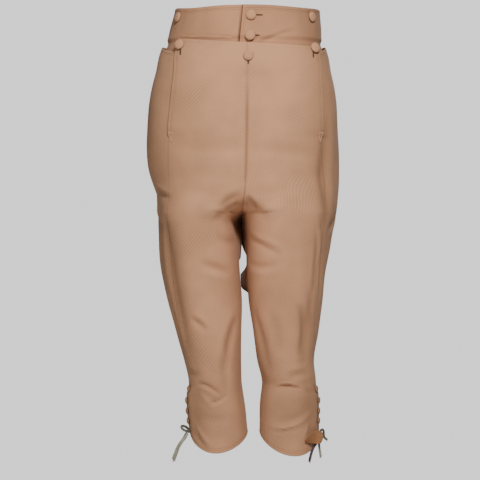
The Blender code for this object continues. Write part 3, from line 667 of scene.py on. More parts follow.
def ripple_depth(height, angle):
    """Slow unevenness of worn cloth: a sum of sine waves round the leg and up it."""
    total = np.zeros(np.broadcast(height, angle).shape)
    for row in RIPPLES:
        total += row.size * np.sin(row.round * angle + row.up * height * 2 + row.shift)
    return total


def settle(side, height, angle):
    """Folds and ripples together, fading out at the middle plane so that seams stay closed, and
    at the top of the panels, where the cloth is held."""
    clear = np.abs(form(side, height, angle)[..., 0] - read_column(SECTIONS, "middle", height))
    at_seam = step(clear, 0.5, 9.0)
    folds = fold_depth(side, height, angle) + ripple_depth(height, angle)
    return folds * at_seam * (1 - step(height, -60, -40)) + gather_depth(side, height, angle) * at_seam


def free_edge(kind, side, height, angle):
    """Distance in millimetres from a piece's nearest free, turned-in edge: the slit, the knee
    opening or the hem; the top of a back; for the waistband its top and overlapping end."""
    if kind == "waistband":
        top = BAND_TOP - top_dip(side, angle) - height
        if side < 0:
            return top
        x = form(side, height, angle, clipped=False)[..., 0]
        end = x - overlap_end(ramp(-height, -BAND_TOP, -BAND_FOOT_BEHIND))
        return np.minimum(top, np.where(angle > 0, end, NO_EDGE))
    shape = np.shape(height)
    hem = height - hem_height(side, np.full(shape, HEM_AT_SIDES), angle)
    if kind == "back":
        return np.minimum(hem, side_top(side, np.full(shape, BAND_FOOT_BEHIND), angle) - height)
    edge = seam_angle(side, height)
    along = (angle - edge) / girth_step(side, height, edge)
    is_free = (height > SLIT_FOOT + 4) | (height < KNEE_OPENING_TOP)
    return np.minimum(hem, np.where(is_free, along - SLIT_EASE, NO_EDGE))


def lap_and_seam_shade(kind, side, height, angle):
    """Painted shadow where another piece's edge lies over the cloth: 1 along that edge, fading to 0
    a few millimetres out, beside the fall's slit, above the fall's top and beside the waistband's
    overlapping end. Weaker: darker lines along the sewn seams, and painted shade between the legs."""
    edge = seam_angle(side, height)
    if kind == "waistband":
        above = height - fall_top(side, np.full(np.shape(height), BAND_FOOT_BEHIND), angle)
        # Painted shadow on the waistband just above the fall's top edge
        shade = np.where(angle > edge, 0.3 * (1 - ramp(above, 0.4, 3.0)), 0.0)
        if side > 0:
            return shade
        # Painted shadow on the right half beside the left half's overlapping end
        x = form(side, height, angle, clipped=False)[..., 0]
        away = overlap_end(ramp(-height, -BAND_TOP, -BAND_FOOT_BEHIND)) - x
        return np.maximum(shade, np.where(angle > 0, 1 - ramp(away, 0.5, 3.6), 0.0))
    from_edge = np.abs(edge - angle) / girth_step(side, height, edge)
    sewn = ramp(height, KNEE_OPENING_TOP - 2, KNEE_OPENING_TOP + 2)
    sewn = sewn * (1 - ramp(height, SLIT_FOOT - 4, SLIT_FOOT))
    side_seam = SIDE_SEAM_SHADE * sewn * (1 - ramp(from_edge, 0.2, 1.6))
    inner = inner_edge(side, height, kind == "front")
    away = np.abs(inner - angle) / girth_step(side, height, inner - 0.08 * np.sign(inner))
    centre_seam = (1 - ramp(away, 0.2, 1.5)) * ramp(height, FORK - 2, FORK + 12)
    if kind == "front":
        return np.maximum(side_seam, (0.2 + 0.35 * (1 - ramp(height, -150, -105))) * centre_seam)
    # Painted shadow on the back beside the fall's slit, where the fall's edge lies over it
    lapped = (1 - ramp(from_edge + SLIT_EASE, 0.6, 4.2)) * ramp(height, SLIT_FOOT - 3, SLIT_FOOT + 3)
    # Painted shade between the legs, on the back near the inseam
    between_legs_shade = step(-np.degrees(angle), 140, 158) * step(height, -520, -478)
    between_legs_shade = 0.6 * (between_legs_shade * (1 - step(height, FORK, FORK + 24)))
    return np.maximum(np.maximum(lapped, between_legs_shade), np.maximum(side_seam, 0.55 * centre_seam))


def turned_in(distance):
    """A turned-in edge is thicker as far as its stitching, and sinks a little at the stitches: a
    step down at the inset less a narrow bell there."""
    thick = 0.45 * (1 - step(distance, HEM_INSET - 0.2, HEM_INSET + 1.2))
    return thick - 0.4 * bell((distance - HEM_INSET) / 0.8)


def front_lift(side, height, angle):
    """The laps of a front, and its folds. A fold never sinks the lap into the piece under it."""
    laps = fall_lift(side, height, angle) + knee_lift(side, height, angle)
    held = np.clip(laps / FALL_LIFT, 0, 1)
    moved = settle(side, height, angle)
    moved = np.where(moved < 0, moved * (1 - 0.75 * held), moved * (1 - 0.3 * held))
    return laps + moved + turned_in(free_edge("front", side, height, angle))


def back_lift(side, height, angle):
    """The pocket mouth's bow of a back, and its folds, held where the fall or knee laps it."""
    lapped = step(angle - seam_angle(side, height), math.radians(-12), math.radians(-2))
    lapped = lapped * np.maximum(height > SLIT_FOOT, height < KNEE_OPENING_TOP)
    moved = settle(side, height, angle) * (1 - 0.75 * lapped)
    edge = turned_in(free_edge("back", side, height, angle)) * (1 - lapped)
    return pocket_lift(side, height, angle) + moved + edge


def waist_tuck(side, height, angle):
    """The keen tuck along the foot of the right waistband half, and the roll under it: a narrow
    bell sunk along a sloping line, and a wider one raised below."""
    if side > 0:
        return 0 * angle
    x = form(side, height, angle, clipped=False)[..., 0]
    share = (x - TUCK_FROM[0]) / (TUCK_TO[0] - TUCK_FROM[0])
    above = height - (TUCK_FROM[1] + (TUCK_TO[1] - TUCK_FROM[1]) * share)
    fade = step(share, -0.06, 0.08) * (1 - step(share, 0.92, 1.06)) * (angle > 0)
    return fade * (0.7 * bell((above + 3.2) / 1.9) - 1.2 * bell(above / 1.3))


def waistband_lift(side, height, angle):
    """The waistband sinks behind the fall, and the left half laps over the right in front. A
    drag fold, a bell sunk beside a raised one, hangs from the left half's brace button."""
    low = 1 - ramp(height, BAND_SINK_FOOT, BAND_SINK_TOP)
    lift = -BAND_RECESS * low * ramp(angle, *BAND_SINKS)
    if side > 0:
        x = form(side, height, angle, clipped=False)[..., 0]
        lift = lift + BAND_OVERLAP_LIFT * (1 - step(x, 30, 70)) * (angle > 0)
    pull = 0.35 * np.sin(angle * 23) * np.sin(angle * 7 + 1) * step(height, -20, 0)
    turn = np.degrees(angle) - 60
    above = height + 17 + 0.37 * turn + 0.02 * turn**2
    drag = 0.9 * bell((above - 6.5) / 5) - 1.9 * bell(above / 4.5)
    drag = drag * step(turn, -10, 4) * (1 - step(turn, 20, 29)) * (side > 0)
    edge = turned_in(free_edge("waistband", side, height, angle))
    return lift + pull + drag + waist_tuck(side, height, angle) + edge


LIFTS = {"front": front_lift, "back": back_lift, "waistband": waistband_lift}


# Meshes


def spread(count, length, first=RIM_LINES, last=RIM_LINES):
    """Shares from 0 to 1 of a length in millimetres: close lines near each end, where the edge
    is rounded off and stitched, and even ones between them."""
    inside = np.linspace(first[-1] + LINE_GAP, length - last[-1] - LINE_GAP, count)
    return np.concatenate([first, inside, length - np.array(last)[::-1]]) / length


def rounding(count, first, last):
    """Thickness at each line of a grid from spread: full inside, less at the two lines by a free
    edge. An edge with a share of 1 isn't rounded."""
    share = np.ones(count)
    share[[0, -1]] = first, last
    share[[1, -2]] = 0.62 + 0.38 * first, 0.62 + 0.38 * last
    return share


def quads(index, flip=False):
    """The faces between neighbouring rows and columns of a grid of point numbers."""
    faces = np.stack([index[:-1, :-1], index[:-1, 1:], index[1:, 1:], index[1:, :-1]], axis=-1)
    faces = faces.reshape(-1, 4)
    return faces[:, ::-1] if flip else faces


def ring_index(rows, columns, rows_meet=False):
    """Point numbers of a grid whose last column meets the first, and the last row too if asked."""
    index = np.arange(rows * columns).reshape(rows, columns)
    return np.pad(index, ((0, int(rows_meet)), (0, 1)), "wrap")


def shell_faces(rows, columns, turned=False):
    """Faces of a closed shell between two grids of points, one numbered after the other."""
    index = np.arange(rows * columns).reshape(rows, columns)
    under = index + rows * columns
    border = np.concatenate([index[0, :], index[1:, -1], index[-1, -2::-1], index[-2:0:-1, 0]])
    after = np.roll(border, -1)
    rim = np.stack([after, border, border + rows * columns, after + rows * columns], axis=-1)
    return np.concatenate([quads(index, turned), quads(under, not turned), rim[:, ::-1] if turned else rim])


def link(name, data):
    obj = bpy.data.objects.new(name, data)
    bpy.context.scene.collection.objects.link(obj)
    return obj


def add_mesh(name, points, faces, looks, uv=None, marks=None, node=None, crease=40.0):
    """A mesh object from points in millimetres and lists of faces, in place of a CAD node if it
    has one. uv and marks have one value for each point. Edges bent more than the crease, in
    degrees, are shaded sharp."""
    mesh = bpy.data.meshes.new(name)
    corners = np.concatenate([part.ravel() for part in faces]).astype(np.int32)
    sizes = np.repeat([part.shape[1] for part in faces], [len(part) for part in faces])
    mesh.vertices.add(len(points))
    mesh.vertices.foreach_set("co", (points * MM).ravel())
    mesh.loops.add(len(corners))
    mesh.loops.foreach_set("vertex_index", corners)
    mesh.polygons.add(len(sizes))
    mesh.polygons.foreach_set("loop_start", (np.cumsum(sizes) - sizes).astype(np.int32))
    mesh.update(calc_edges=True)
    if uv is not None:
        mesh.uv_layers.new(name=CLOTH_LIE).data.foreach_set("uv", uv[corners].ravel())
    for label, values in (marks or {}).items():
        mesh.attributes.new(label, "FLOAT", "POINT").data.foreach_set("value", np.ravel(values))
    mesh.validate()
    mesh.shade_smooth()
    if crease:
        mesh.set_sharp_from_angle(angle=math.radians(crease))
    for look in looks:
        mesh.materials.append(MATERIALS[look])
    obj = link(name, mesh)
    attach(obj, "root")
    if node:
        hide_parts(node)
    return obj


def cloth_shell(name, node, outer, thick, turned, looks, uv, marks, rims=(FREE_RIM,) * 4, faced=None):
    """A closed shell of cloth. Its middle lies half a thickness in from the outer grid, and both
    faces stand half a thickness off that, less at the free rims. rims are the shares left at the
    first and last row and the first and last column. faced marks the rows whose inner face
    shows the facing. Only the outer face takes the painted shadow of what lies over it."""
    rows, columns = outer.shape[:2]
    normal = unit(np.cross(np.gradient(outer, axis=0), np.gradient(outer, axis=1)))
    half = normal * (-1 if turned else 1) * thick / 2
    share = np.minimum.outer(rounding(rows, *rims[:2]), rounding(columns, *rims[2:]))[..., None]
    points = np.concatenate([outer - half + half * share, outer - half - half * share]).reshape(-1, 3)
    both = {label: np.concatenate([np.ravel(values), np.ravel(values) * (label != "lapped")])
            for label, values in marks.items()}
    obj = add_mesh(name, points, [shell_faces(rows, columns, turned)], looks,
                   np.concatenate([uv.reshape(-1, 2)] * 2), both, node)
    if faced is not None:
        count = (rows - 1) * (columns - 1)
        use = np.zeros(len(obj.data.polygons), np.int32)
        use[count:2 * count] = np.repeat(faced[:-1], columns - 1)
        obj.data.polygons.foreach_set("material_index", use)
    return obj


def lie_of_cloth(points, angle, height, reference=RIBS_START):
    """UV in metres: along a row the summed length from the reference angle, and up the height."""
    length = np.linalg.norm(np.diff(points, axis=1), axis=-1)
    run = np.concatenate([np.zeros((len(points), 1)), np.cumsum(length, axis=1)], axis=1)
    share = np.clip((reference - angle[:, :-1]) / np.diff(angle, axis=1), 0, 1)
    start = np.sum(length * share, axis=1, keepdims=True)
    return np.stack([run - start, height], axis=-1) * MM


def shades(angle, height, folds, edge, lapped=0.0):
    """Attributes of the cloth: painted shade toward the sides and at the knees, how deep in a fold,
    how far from a free edge, and painted shadow near an edge that lies over it."""
    degrees = np.degrees(np.abs(angle))
    # Painted shade: 1 at the outer and inner sides, 0 at the middle of front and back; more at the knees and
    # a little at the hem
    lie = 1 - step(degrees, 34, 80) + step(degrees, 128, 165)
    lie = lie + 0.5 * (1 - step(height, -600, -530)) * (0.4 + 0.6 * step(height, -745, -690))
    return {"side_and_knee_shade": np.clip(lie, 0, 1), "fold_depth": np.clip(-folds / 4, -1, 1),
            "edge_distance": np.minimum(edge, 50), "lapped": lapped + 0 * angle}


def fan(first, last, share):
    """Angles between a first and a last one on each row."""
    return first[:, None] + (last - first)[:, None] * share


def true_rows(kind, side, rows, angle):
    """Rows of a front or back bent to its hem and its top edge."""
    top = fall_top if kind == "front" else side_top
    return top(side, hem_height(side, rows, angle), angle)


def leg_grid(kind, side, rows, share):
    """Heights and angles of a front or back from its side edge (share 0) to its centre edge
    (share 1). A back's edge lies under the fall above the slit and under the knee lap."""
    above_slit = SLIT_FOOT + EDGE_RISE
    if kind == "front":
        setback = SLIT_EASE * ramp(rows, SLIT_FOOT, above_slit)
    else:
        below_opening = KNEE_OPENING_TOP - EDGE_RISE
        under_knee = KNEE_UNDERLAP * (1 - step(rows, below_opening - 30, below_opening))
        setback = FALL_UNDERLAP * step(rows, above_slit, above_slit + 40) + under_knee
    angle = fan(off_seam(side, rows, setback), inner_edge(side, rows, kind == "front"), share)
    return true_rows(kind, side, np.repeat(rows[:, None], len(share), axis=1), angle), angle


def waistband_grid(side, down, share):
    """Heights and angles of a waistband half, from its front end to the centre back."""
    rows = BAND_TOP - BAND_DEPTH * down
    end = overlap_end(down) if side > 0 else np.full(len(rows), -BAND_UNDERLAP)
    angle = fan(angle_at(side, rows, end), angle_at(side, rows, 0.0, front=False), share)
    foot = BAND_FOOT_BEHIND + (BAND_FOOT_UNDER_FALL - BAND_FOOT_BEHIND) * ramp(angle, *BAND_DEEPENS)
    height = BAND_TOP + (foot - BAND_TOP) * down[:, None]
    return height - top_dip(side, angle) * ramp(height, 0, BAND_TOP), angle


def dress(kind, side, height, angle, folds, looks, rims, faced=None):
    """A front, back or waistband half: its grid moved out by its lift, and made into a shell."""
    at = (side, height, angle)
    outer = form(*at, LIFTS[kind](*at), kind != "waistband")
    way = 1 if kind == "front" else -1
    uv = lie_of_cloth(outer, way * angle, height, RIBS_START * (-1 if kind == "waistband" else 1))
    marks = shades(angle, height, folds, free_edge(kind, *at), lap_and_seam_shade(kind, *at))
    return cloth_shell(sided(side, kind + "_dressed"), sided(side, kind), outer,
                       BAND_CLOTH if kind == "waistband" else CLOTH, side < 0 if kind != "back" else side > 0,
                       looks, uv * (-way * side, 1), marks, rims, faced)


def make_front_or_back(kind, side):
    """The leg, and above the slit half of the fall, or the side and half of the seat."""
    length = BAND_FOOT_BEHIND - HEM_AT_SIDES
    rows = HEM_AT_SIDES + length * spread(PANEL_ROWS, length, HEM_LINES, HEM_LINES)
    share = spread(*COLUMNS[kind], HEM_LINES if kind == "front" else RIM_LINES)
    height, angle = leg_grid(kind, side, rows, share)
    rims = (FREE_RIM, FULL_RIM if kind == "front" else FREE_RIM, LAP_RIM, FULL_RIM)
    return dress(kind, side, height, angle, fold_depth(side, height, angle), ["ribbed_cloth", "facing"],
                 rims, rows < HEM_AT_SIDES + FACING_RISE)


def make_waistband(side):
    """One half of the waistband; the wearer's left one laps over the right one in front."""
    down, share = spread(BAND_ROWS, BAND_DEPTH, HEM_LINES), spread(*COLUMNS["waistband"], HEM_LINES)
    height, angle = waistband_grid(side, down, share)
    # The waistband's cloth is a darker copy of the ribbed cloth, as painted shade
    return dress("waistband", side, height, angle, -0.6 * waist_tuck(side, height, angle),
                 ["waistband_cloth"], (FREE_RIM, BAND_FOOT_RIM, FREE_RIM, FULL_RIM))


def stay_edge(down):
    """Rows of the stay at the slit's foot, with how far it lies from the seam and how wide it is
    there. Both change straight with height."""
    rows = SLIT_FOOT - STAY_RISE + 2 * STAY_RISE * down
    setback = STAY_POINT_SETBACK + (STAY_SETBACK - STAY_POINT_SETBACK) * down
    return rows, setback, STAY_POINT + (STAY_WIDTH - STAY_POINT) * down


def make_stay(side):
    """The three-cornered stay: a small wall on the front."""
    rows, setback, width = stay_edge(spread(14, 2 * STAY_RISE))
    last = off_seam(side, rows, setback + width)
    angle = fan(off_seam(side, rows, setback), last, spread(10, STAY_WIDTH))
    height = np.repeat(rows[:, None], angle.shape[1], axis=1)
    outer = form(side, height, angle, front_lift(side, height, angle) + STAY_GAP + STAY_CLOTH)
    return cloth_shell(sided(side, "slit_stay_dressed"), sided(side, "slit_stay"), outer, STAY_CLOTH,
                       side < 0, ["ribbed_cloth"], lie_of_cloth(outer, angle, height),
                       shades(angle, height, 0 * angle, 0 * angle + 3), (THIN_RIM,) * 4)


def make_knee_flap():
    """The turned-back corner of the wearer's left hem, which shows the facing. Its rows run on
    smooth curves through the table, and its middle is hollowed like a half sine wave."""
    across, up = np.meshgrid(spread(30, 35.0), spread(22, 25.0))
    angle, low, high, lift = (
        read_column(FLAP, name, across * (len(FLAP) - 1)) for name in ("angle", "low", "high", "lift"))
    roll = 0.9 * np.sin(math.pi * up) * np.sin(2.4 * math.pi * across + 0.4)
    outer = form(1, low + (high - low) * up, np.radians(angle), lift + roll)
    edge = 30 * np.minimum(np.minimum(across, 1 - across), np.minimum(up, 1 - up))
    marks = {**shades(angle, 0 * angle, 0 * across, edge), "tip": 1 - across}
    return cloth_shell("knee_flap_dressed", "knee_flap", outer, FLAP_CLOTH, True, ["facing"],
                       np.stack([across * 0.03, up * 0.025], axis=-1), marks)


# Stitches


def surface_of(kind, side, height, angle, above=STITCH_RISE):
    """Points just above a dressed piece's outer face and the way it faces there."""

    def dressed(up, turn):
        at = (side, height + up, angle + turn)
        return form(*at, LIFTS[kind](*at), kind != "waistband")

    point = dressed(0, 0)
    normal = unit(np.cross(dressed(1.0, 0) - point, dressed(0, 0.012) - point) * side)
    return point + normal * above, normal


def edge_line(side, low, high, inset, count):
    """A line along the free edge of the fall or the knee opening, that far in from it."""
    rows = np.linspace(low, high, count)
    angle = off_seam(side, rows, inset)
    return surface_of("front", side, true_rows("front", side, rows, angle), angle)


def across_line(kind, side, row):
    """A line across a front or back at one of its rows."""
    rows = np.full(160, row)
    way, inset = (1, 3.0 + SLIT_EASE) if kind == "front" else (-1, 6.0)
    first, last = off_seam(side, rows, way * inset), inner_edge(side, rows, kind == "front")
    last = last - way * girth_step(side, rows, last, 2.0)
    angle = first + (last - first) * np.linspace(0, 1, len(rows))
    return surface_of(kind, side, true_rows(kind, side, rows, angle), angle)


def band_lines(side):
    """A line round the waistband under its top edge, and one down its overlapping front end."""
    drop = HEM_INSET / BAND_DEPTH
    height, angle = waistband_grid(side, np.array([drop, drop + 0.001]), np.linspace(0.012, 0.995, 320))
    lines = [surface_of("waistband", side, height[0], angle[0])]
    if side > 0:
        down = np.linspace(0.06, 1.0, 60)
        rows = BAND_TOP - BAND_DEPTH * down
        angle = angle_at(1, rows, overlap_end(down) + HEM_INSET)
        rows = rows - top_dip(1, angle) * ramp(rows, 0, BAND_TOP)
        lines.append(surface_of("waistband", 1, rows, angle))
    return lines


def stay_lines(side):
    """Lines down both sides of the stay to its point, and one across its top."""
    share = np.linspace(0.04, 0.94, 30)
    lines = []
    for down, over in ((share, 0.08), (share, 0.92), (np.full(30, 0.93), np.linspace(0.0, 1.0, 30))):
        rows, setback, width = stay_edge(down)
        angle = off_seam(side, rows, setback + width * over)
        lines.append(surface_of("front", side, rows, angle, STAY_CLOTH + TACK_RISE))
    return lines


def stitch_line(points, normals, pitch, length, radius):
    """Points and faces of a row of stitches. Each is a bead: five rings of six points whose
    radius is the square root of one less the square of the way along it, sunk at both ends."""
    run = run_of(points)
    even = np.arange(pitch / 2, run[-1], pitch)
    at, facing = read_path(even, run, points), unit(read_path(even, run, normals))
    way = unit(np.gradient(at, axis=0))
    beside = np.cross(facing, way)
    along = np.array([-1, -0.72, 0.0, 0.72, 1])
    ring = radius * np.sqrt(1.04 - along**2)[:, None]
    turn = turns(6)
    sink = 0.25 * along[:, None] ** 4
    grid = (
        at[:, None, None] + way[:, None, None] * (along * length / 2)[None, :, None, None]
        + beside[:, None, None] * (ring * np.cos(turn))[None, ..., None]
        + facing[:, None, None] * (ring * np.sin(turn) - sink)[None, ..., None]
    )
    caps = np.array([[0, 1, 2, 3], [0, 3, 4, 5], [27, 26, 25, 24], [29, 28, 27, 24]])
    bead = np.concatenate([quads(ring_index(5, 6)), caps])
    return grid.reshape(-1, 3), (bead[None] + 30 * np.arange(len(at))[:, None, None]).reshape(-1, 4)


def make_stitches(name, lines, look="stitch_thread", pitch=3.1, length=2.2, radius=0.28):
    """One mesh of all the stitches along several lines of points and normals."""
    points, faces, count = [], [], 0
    for line in lines:
        beads, sides = stitch_line(*line, pitch, length, radius)
        points.append(beads)
        faces.append(sides + count)
        count += len(beads)
    return add_mesh(name, np.concatenate(points), faces, [look])


def make_buttonhole(hole):
    """A worked buttonhole: a ring drawn out along the slit, a tube whose radius ripples as the
    thread does. The ring's middle line is an ellipse raised to a power, close to a slot."""
    steps, round_steps = 132, 8
    turn, tube = turns(steps), turns(round_steps)
    length = math.hypot(hole.run_across, hole.run_up)
    along = (signed_power(np.cos(turn), 0.7) + 1) / 2 * length
    beside = signed_power(np.sin(turn), 0.7) * (1.1 if hole.run_up else 0.95)
    way = np.array([hole.run_across, hole.run_up]) / length
    height = hole.height + way[1] * along + way[0] * beside
    angle = angle_at(hole.side, height, hole.across + way[0] * along - way[1] * beside)
    kind = "waistband" if hole.name.startswith("waist") else "front"
    middle, normal = surface_of(kind, hole.side, height, angle, HOLE_RISE)
    out = np.cross(unit(np.roll(middle, -1, axis=0) - np.roll(middle, 1, axis=0)), normal)
    radius = 0.62 * (1 + 0.16 * np.cos(turn * 44))[:, None]
    grid = (
        middle[:, None] + out[:, None] * (radius * np.cos(tube))[..., None]
        + normal[:, None] * (radius * 0.8 * np.sin(tube))[..., None]
    )
    add_mesh(hole.name, grid.reshape(-1, 3), [quads(ring_index(steps, round_steps, True))],
             ["buttonhole_thread"])
    # A dark sheet along the slit: painted shadow in the opening
    half = steps // 2
    bed = np.stack([middle[:half + 1], np.concatenate([middle[:1], middle[:half - 1:-1]])], axis=1)
    index = np.arange(bed.shape[0] * 2).reshape(-1, 2)
    add_mesh(hole.name.replace("hole", "hole_slit"), bed.reshape(-1, 3), [quads(index)], ["slit_dark"])


# Buttons and knots


def closed_rings(name, node, grid, poles, flip, look, uv=None, marks=None):
    """A closed smooth piece: rings of points joined to each other, and to a pole at both ends."""
    rows, columns = grid.shape[:2]
    index = ring_index(rows, columns)
    ends = [np.stack([ring[1:], ring[:-1], np.full(columns, rows * columns + number)], axis=-1)
            for number, ring in enumerate((index[0], index[-1, ::-1]))]
    faces = [quads(index, flip)] + [end[:, ::-1] if flip else end for end in ends]
    points = np.concatenate([grid.reshape(-1, 3), poles])
    return add_mesh(name, points, faces, [look], uv, marks, node, crease=None)


def covered_button(node, radius, centre, facing, look):
    """A covered button: a domed profile turned about its axis, gathered under the rim in eighteen
    tucks, with a thread shank. The dome is a fourth-power curve and the tucks a sine wave that
    grows from the rim to the underside."""
    beside = unit(np.cross(facing, [0.0, 0.3, 1.0]))
    upward = np.cross(beside, facing)
    turn = turns(BUTTON_SIDES)
    dome = np.linspace(0, 1, 10)[1:]
    across = np.concatenate([dome * 0.96, BUTTON_UNDERSIDE[0]]) * radius
    top = RIM_HEIGHT + DOME_HEIGHT * (1 - dome**4 * 0.72 - dome**2 * 0.28) ** 0.8
    rise = np.concatenate([top, BUTTON_UNDERSIDE[1]]) * radius
    rise[-1] = -SHANK_LENGTH
    under = np.concatenate([np.zeros(len(dome)), BUTTON_UNDERSIDE[2]])
    tucks = under[:, None] * np.cos(BUTTON_TUCKS * turn)[None]
    puff = 0.012 * np.sin(3 * turn + 0.7)[None] * np.linspace(0, 1, len(across))[:, None]
    ring = across[:, None] * (1 + 0.035 * tucks) * (1 + puff * 0.6)
    lift = rise[:, None] + 0.02 * radius * tucks
    flat = np.stack([ring * np.cos(turn), ring * np.sin(turn)], axis=-1)
    grid = centre + flat[..., :1] * beside + flat[..., 1:] * upward + lift[..., None] * facing
    poles = [centre + facing * (RIM_HEIGHT + DOME_HEIGHT) * radius, centre - facing * SHANK_LENGTH]
    closed_rings(node + "_dressed", node, grid, poles, True, look,
                 np.concatenate([flat.reshape(-1, 2), [[0, 0], [0, 0]]]) * MM,
                 {"underside": np.concatenate([np.repeat(under, len(turn)), [0, 1]])})


def place_button(node, side, height, angle, lift, radius, forward, look):
    """A button clear of the cloth by a gap and by what its tilt takes."""
    at = (side, np.array([height]), np.array([angle]), lift, False)
    surface, normal = form(*at)[0], outward(*at)[0]
    facing = unit(normal * (1 - forward) + np.array([0.0, -1.0, 0.0]) * forward)
    tilt = np.linalg.norm(np.cross(facing, normal))
    centre = surface + normal * (SHANK_GAP + radius * tilt) + facing * SHANK_LENGTH
    covered_button(node, radius, centre, facing, look)


def make_buttons():
    """All the covered buttons, each in place of its CAD node."""
    for row in BUTTONS:
        angle = angle_at(row.side, np.array([row.height]), row.across, "back" not in row.name)[0]
        place_button(row.name, row.side, row.height, angle, row.lift, BUTTON_RADIUS, row.forward,
                     "covered_button")
    for side in SIDES:
        for number, height in enumerate(KNEE_BUTTON_HEIGHTS, 1):
            at = np.array([height])
            angle = seam_angle(side, at) + KNEE_BUTTON_SETBACK
            place_button(f"{sided(side, 'knee_button')}_{number}", side, height, angle[0],
                         knee_lift(side, at, angle)[0], KNEE_BUTTON_RADIUS, 0.0, "knee_button")


def make_knot(name, centre):
    """A drawn knot: a ball whose radius swells and sinks along slanting wraps of ribbon, as the
    square root of a sine's size, of one and a half times the turn and 2.8 times the tilt."""
    turn = turns(KNOT_SIDES)
    tilt = np.linspace(-math.pi / 2, math.pi / 2, 38)[1:-1, None]
    wrap = np.abs(np.sin(1.5 * turn[None] + 1.4 * tilt * 2)) ** 0.5
    radius = KNOT_RADIUS * (0.74 + 0.26 * wrap * np.cos(tilt) ** 0.3)
    way = [np.cos(tilt) * np.cos(turn), np.cos(tilt) * np.sin(turn), np.sin(tilt) * np.ones(len(turn))]
    grid = np.array(centre) + radius[..., None] * np.stack(way, axis=-1)
    poles = np.array(centre) + np.array([[0, 0, -1], [0, 0, 1]]) * KNOT_RADIUS * 0.72
    closed_rings(name + "_dressed", name, grid, poles, False, "deep_olive_ribbon")


# Ribbons


def smooth_route(points, spacing):
    """Even points on a smooth curve through a route's own points (Catmull-Rom pieces)."""
    points = np.array(points, float)
    ends = np.vstack([2 * points[0] - points[1], points, 2 * points[-1] - points[-2]])
    t = np.linspace(0, 1, 24, endpoint=False)[:, None]
    pieces = [
        0.5 * (2 * b + (c - a) * t + (2 * a - 5 * b + 4 * c - d) * t**2 + (3 * b - a - 3 * c + d) * t**3)
        for a, b, c, d in zip(ends, ends[1:], ends[2:], ends[3:])
    ]
    fine = np.vstack([*pieces, points[-1:]])
    run = run_of(fine)
    return read_path(np.linspace(0, run[-1], max(3, round(run[-1] / spacing)) + 1), run, fine)


def make_ribbon(name, facing, twist, cut):
    """A flat ribbon: a thin closed strip carried along its route. Its width lies across the
    route and a facing direction, turned by a twist that grows along it, cupped a little like a
    parabola, and cut at the end on a slant."""
    path = smooth_route(RIBBON_ROUTES[name], 0.001)
    centre = path / MM
    way = unit(np.gradient(centre, axis=0))
    beside = unit(np.cross(way, facing))
    normal = np.cross(beside, way)
    share = np.linspace(0, 1, len(centre))[:, None]
    turn = np.radians(twist) * share
    beside, normal = (beside * np.cos(turn) + normal * np.sin(turn),
                      normal * np.cos(turn) - beside * np.sin(turn))
    across = np.array([-1, -0.92, -0.5, 0, 0.5, 0.92, 1.0])
    crimp = 0.12 * np.sin(share * run_of(centre)[-1] * 1.3) + 0.08 * np.sin(share * 41)
    width = RIBBON_WIDTH / 2 * (1.18 + 0.06 * np.sin(share * 9 + 1))
    cup = (across**2 * 0.35)[None] + crimp
    slant = cut * across[None] * np.clip((share - 0.9) / 0.1, 0, 1)
    middle = (centre[:, None] + beside[:, None] * (width * across)[..., None]
              + normal[:, None] * cup[..., None] + way[:, None] * slant[..., None])
    half = RIBBON_THICK / 2 * np.array([0.45, 0.9, 1, 1, 1, 0.9, 0.45])
    half = normal[:, None] * half[None, :, None]
    run = (share * run_of(path)[-1]).ravel()
    uv = np.stack(np.meshgrid(across * RIBBON_WIDTH / 2 * MM, run), axis=-1).reshape(-1, 2)
    finish = "dark_ribbon" if name == "ribbon_tail_left_front" else "olive_ribbon"
    look = "deep_olive_ribbon" if "loop" in name else finish
    obj = add_mesh(name + "_dressed", np.concatenate([middle + half, middle - half]).reshape(-1, 3),
                   [shell_faces(*middle.shape[:2])], [look], np.concatenate([uv, uv]), node=name)


# Materials


class Wiring:
    """Adds nodes to a tree and links them; a value is a number, a socket or a colour."""

    def __init__(self, tree):
        self.tree = tree

    def node(self, kind, **settings):
        node = self.tree.nodes.new("ShaderNode" + kind)
        for label, value in settings.items():
            setattr(node, label, value)
        return node

    def feed(self, socket, value):
        if isinstance(value, bpy.types.NodeSocket):
            self.tree.links.new(value, socket)
        else:
            socket.default_value = value

    def feed_all(self, sockets, **values):
        for label, value in values.items():
            self.feed(sockets[label.replace("_", " ")], value)

    def math(self, operation, *values, clamp=False):
        node = self.node("Math", operation=operation, use_clamp=clamp)
        for socket, value in zip(node.inputs, values):
            self.feed(socket, value)
        return node.outputs[0]

    def times(self, first, second, clamp=False):
        return self.math("MULTIPLY", first, second, clamp=clamp)

    def mix(self, factor, first, second):
        node = self.node("Mix", data_type="RGBA")
        for number, value in ((0, factor), (6, first), (7, second)):
            self.feed(node.inputs[number], value)
        return node.outputs[2]

    def span(self, value, low, high, to_low=0.0, to_high=1.0):
        node = self.node("MapRange", clamp=True)
        for socket, number in zip(node.inputs, (value, low, high, to_low, to_high)):
            self.feed(socket, number)
        return node.outputs[0]

    def noise(self, vector, scale, detail=3.0, roughness=0.55):
        node = self.node("TexNoise")
        self.feed_all(node.inputs, Vector=vector, Scale=scale, Detail=detail, Roughness=roughness)
        return node.outputs[0]

    def split(self, vector):
        node = self.node("SeparateXYZ")
        self.feed(node.inputs[0], vector)
        return node.outputs

    def use(self, group, **values):
        node = self.node("Group", node_tree=GROUPS[group])
        self.feed_all(node.inputs, **values)
        return node.outputs

    def mark(self, name):
        return self.node("Attribute", attribute_name=name).outputs["Fac"]

    def lie(self):
        return self.node("UVMap", uv_map=CLOTH_LIE).outputs[0]

    def place(self):
        return self.node("TexCoord").outputs["Object"]


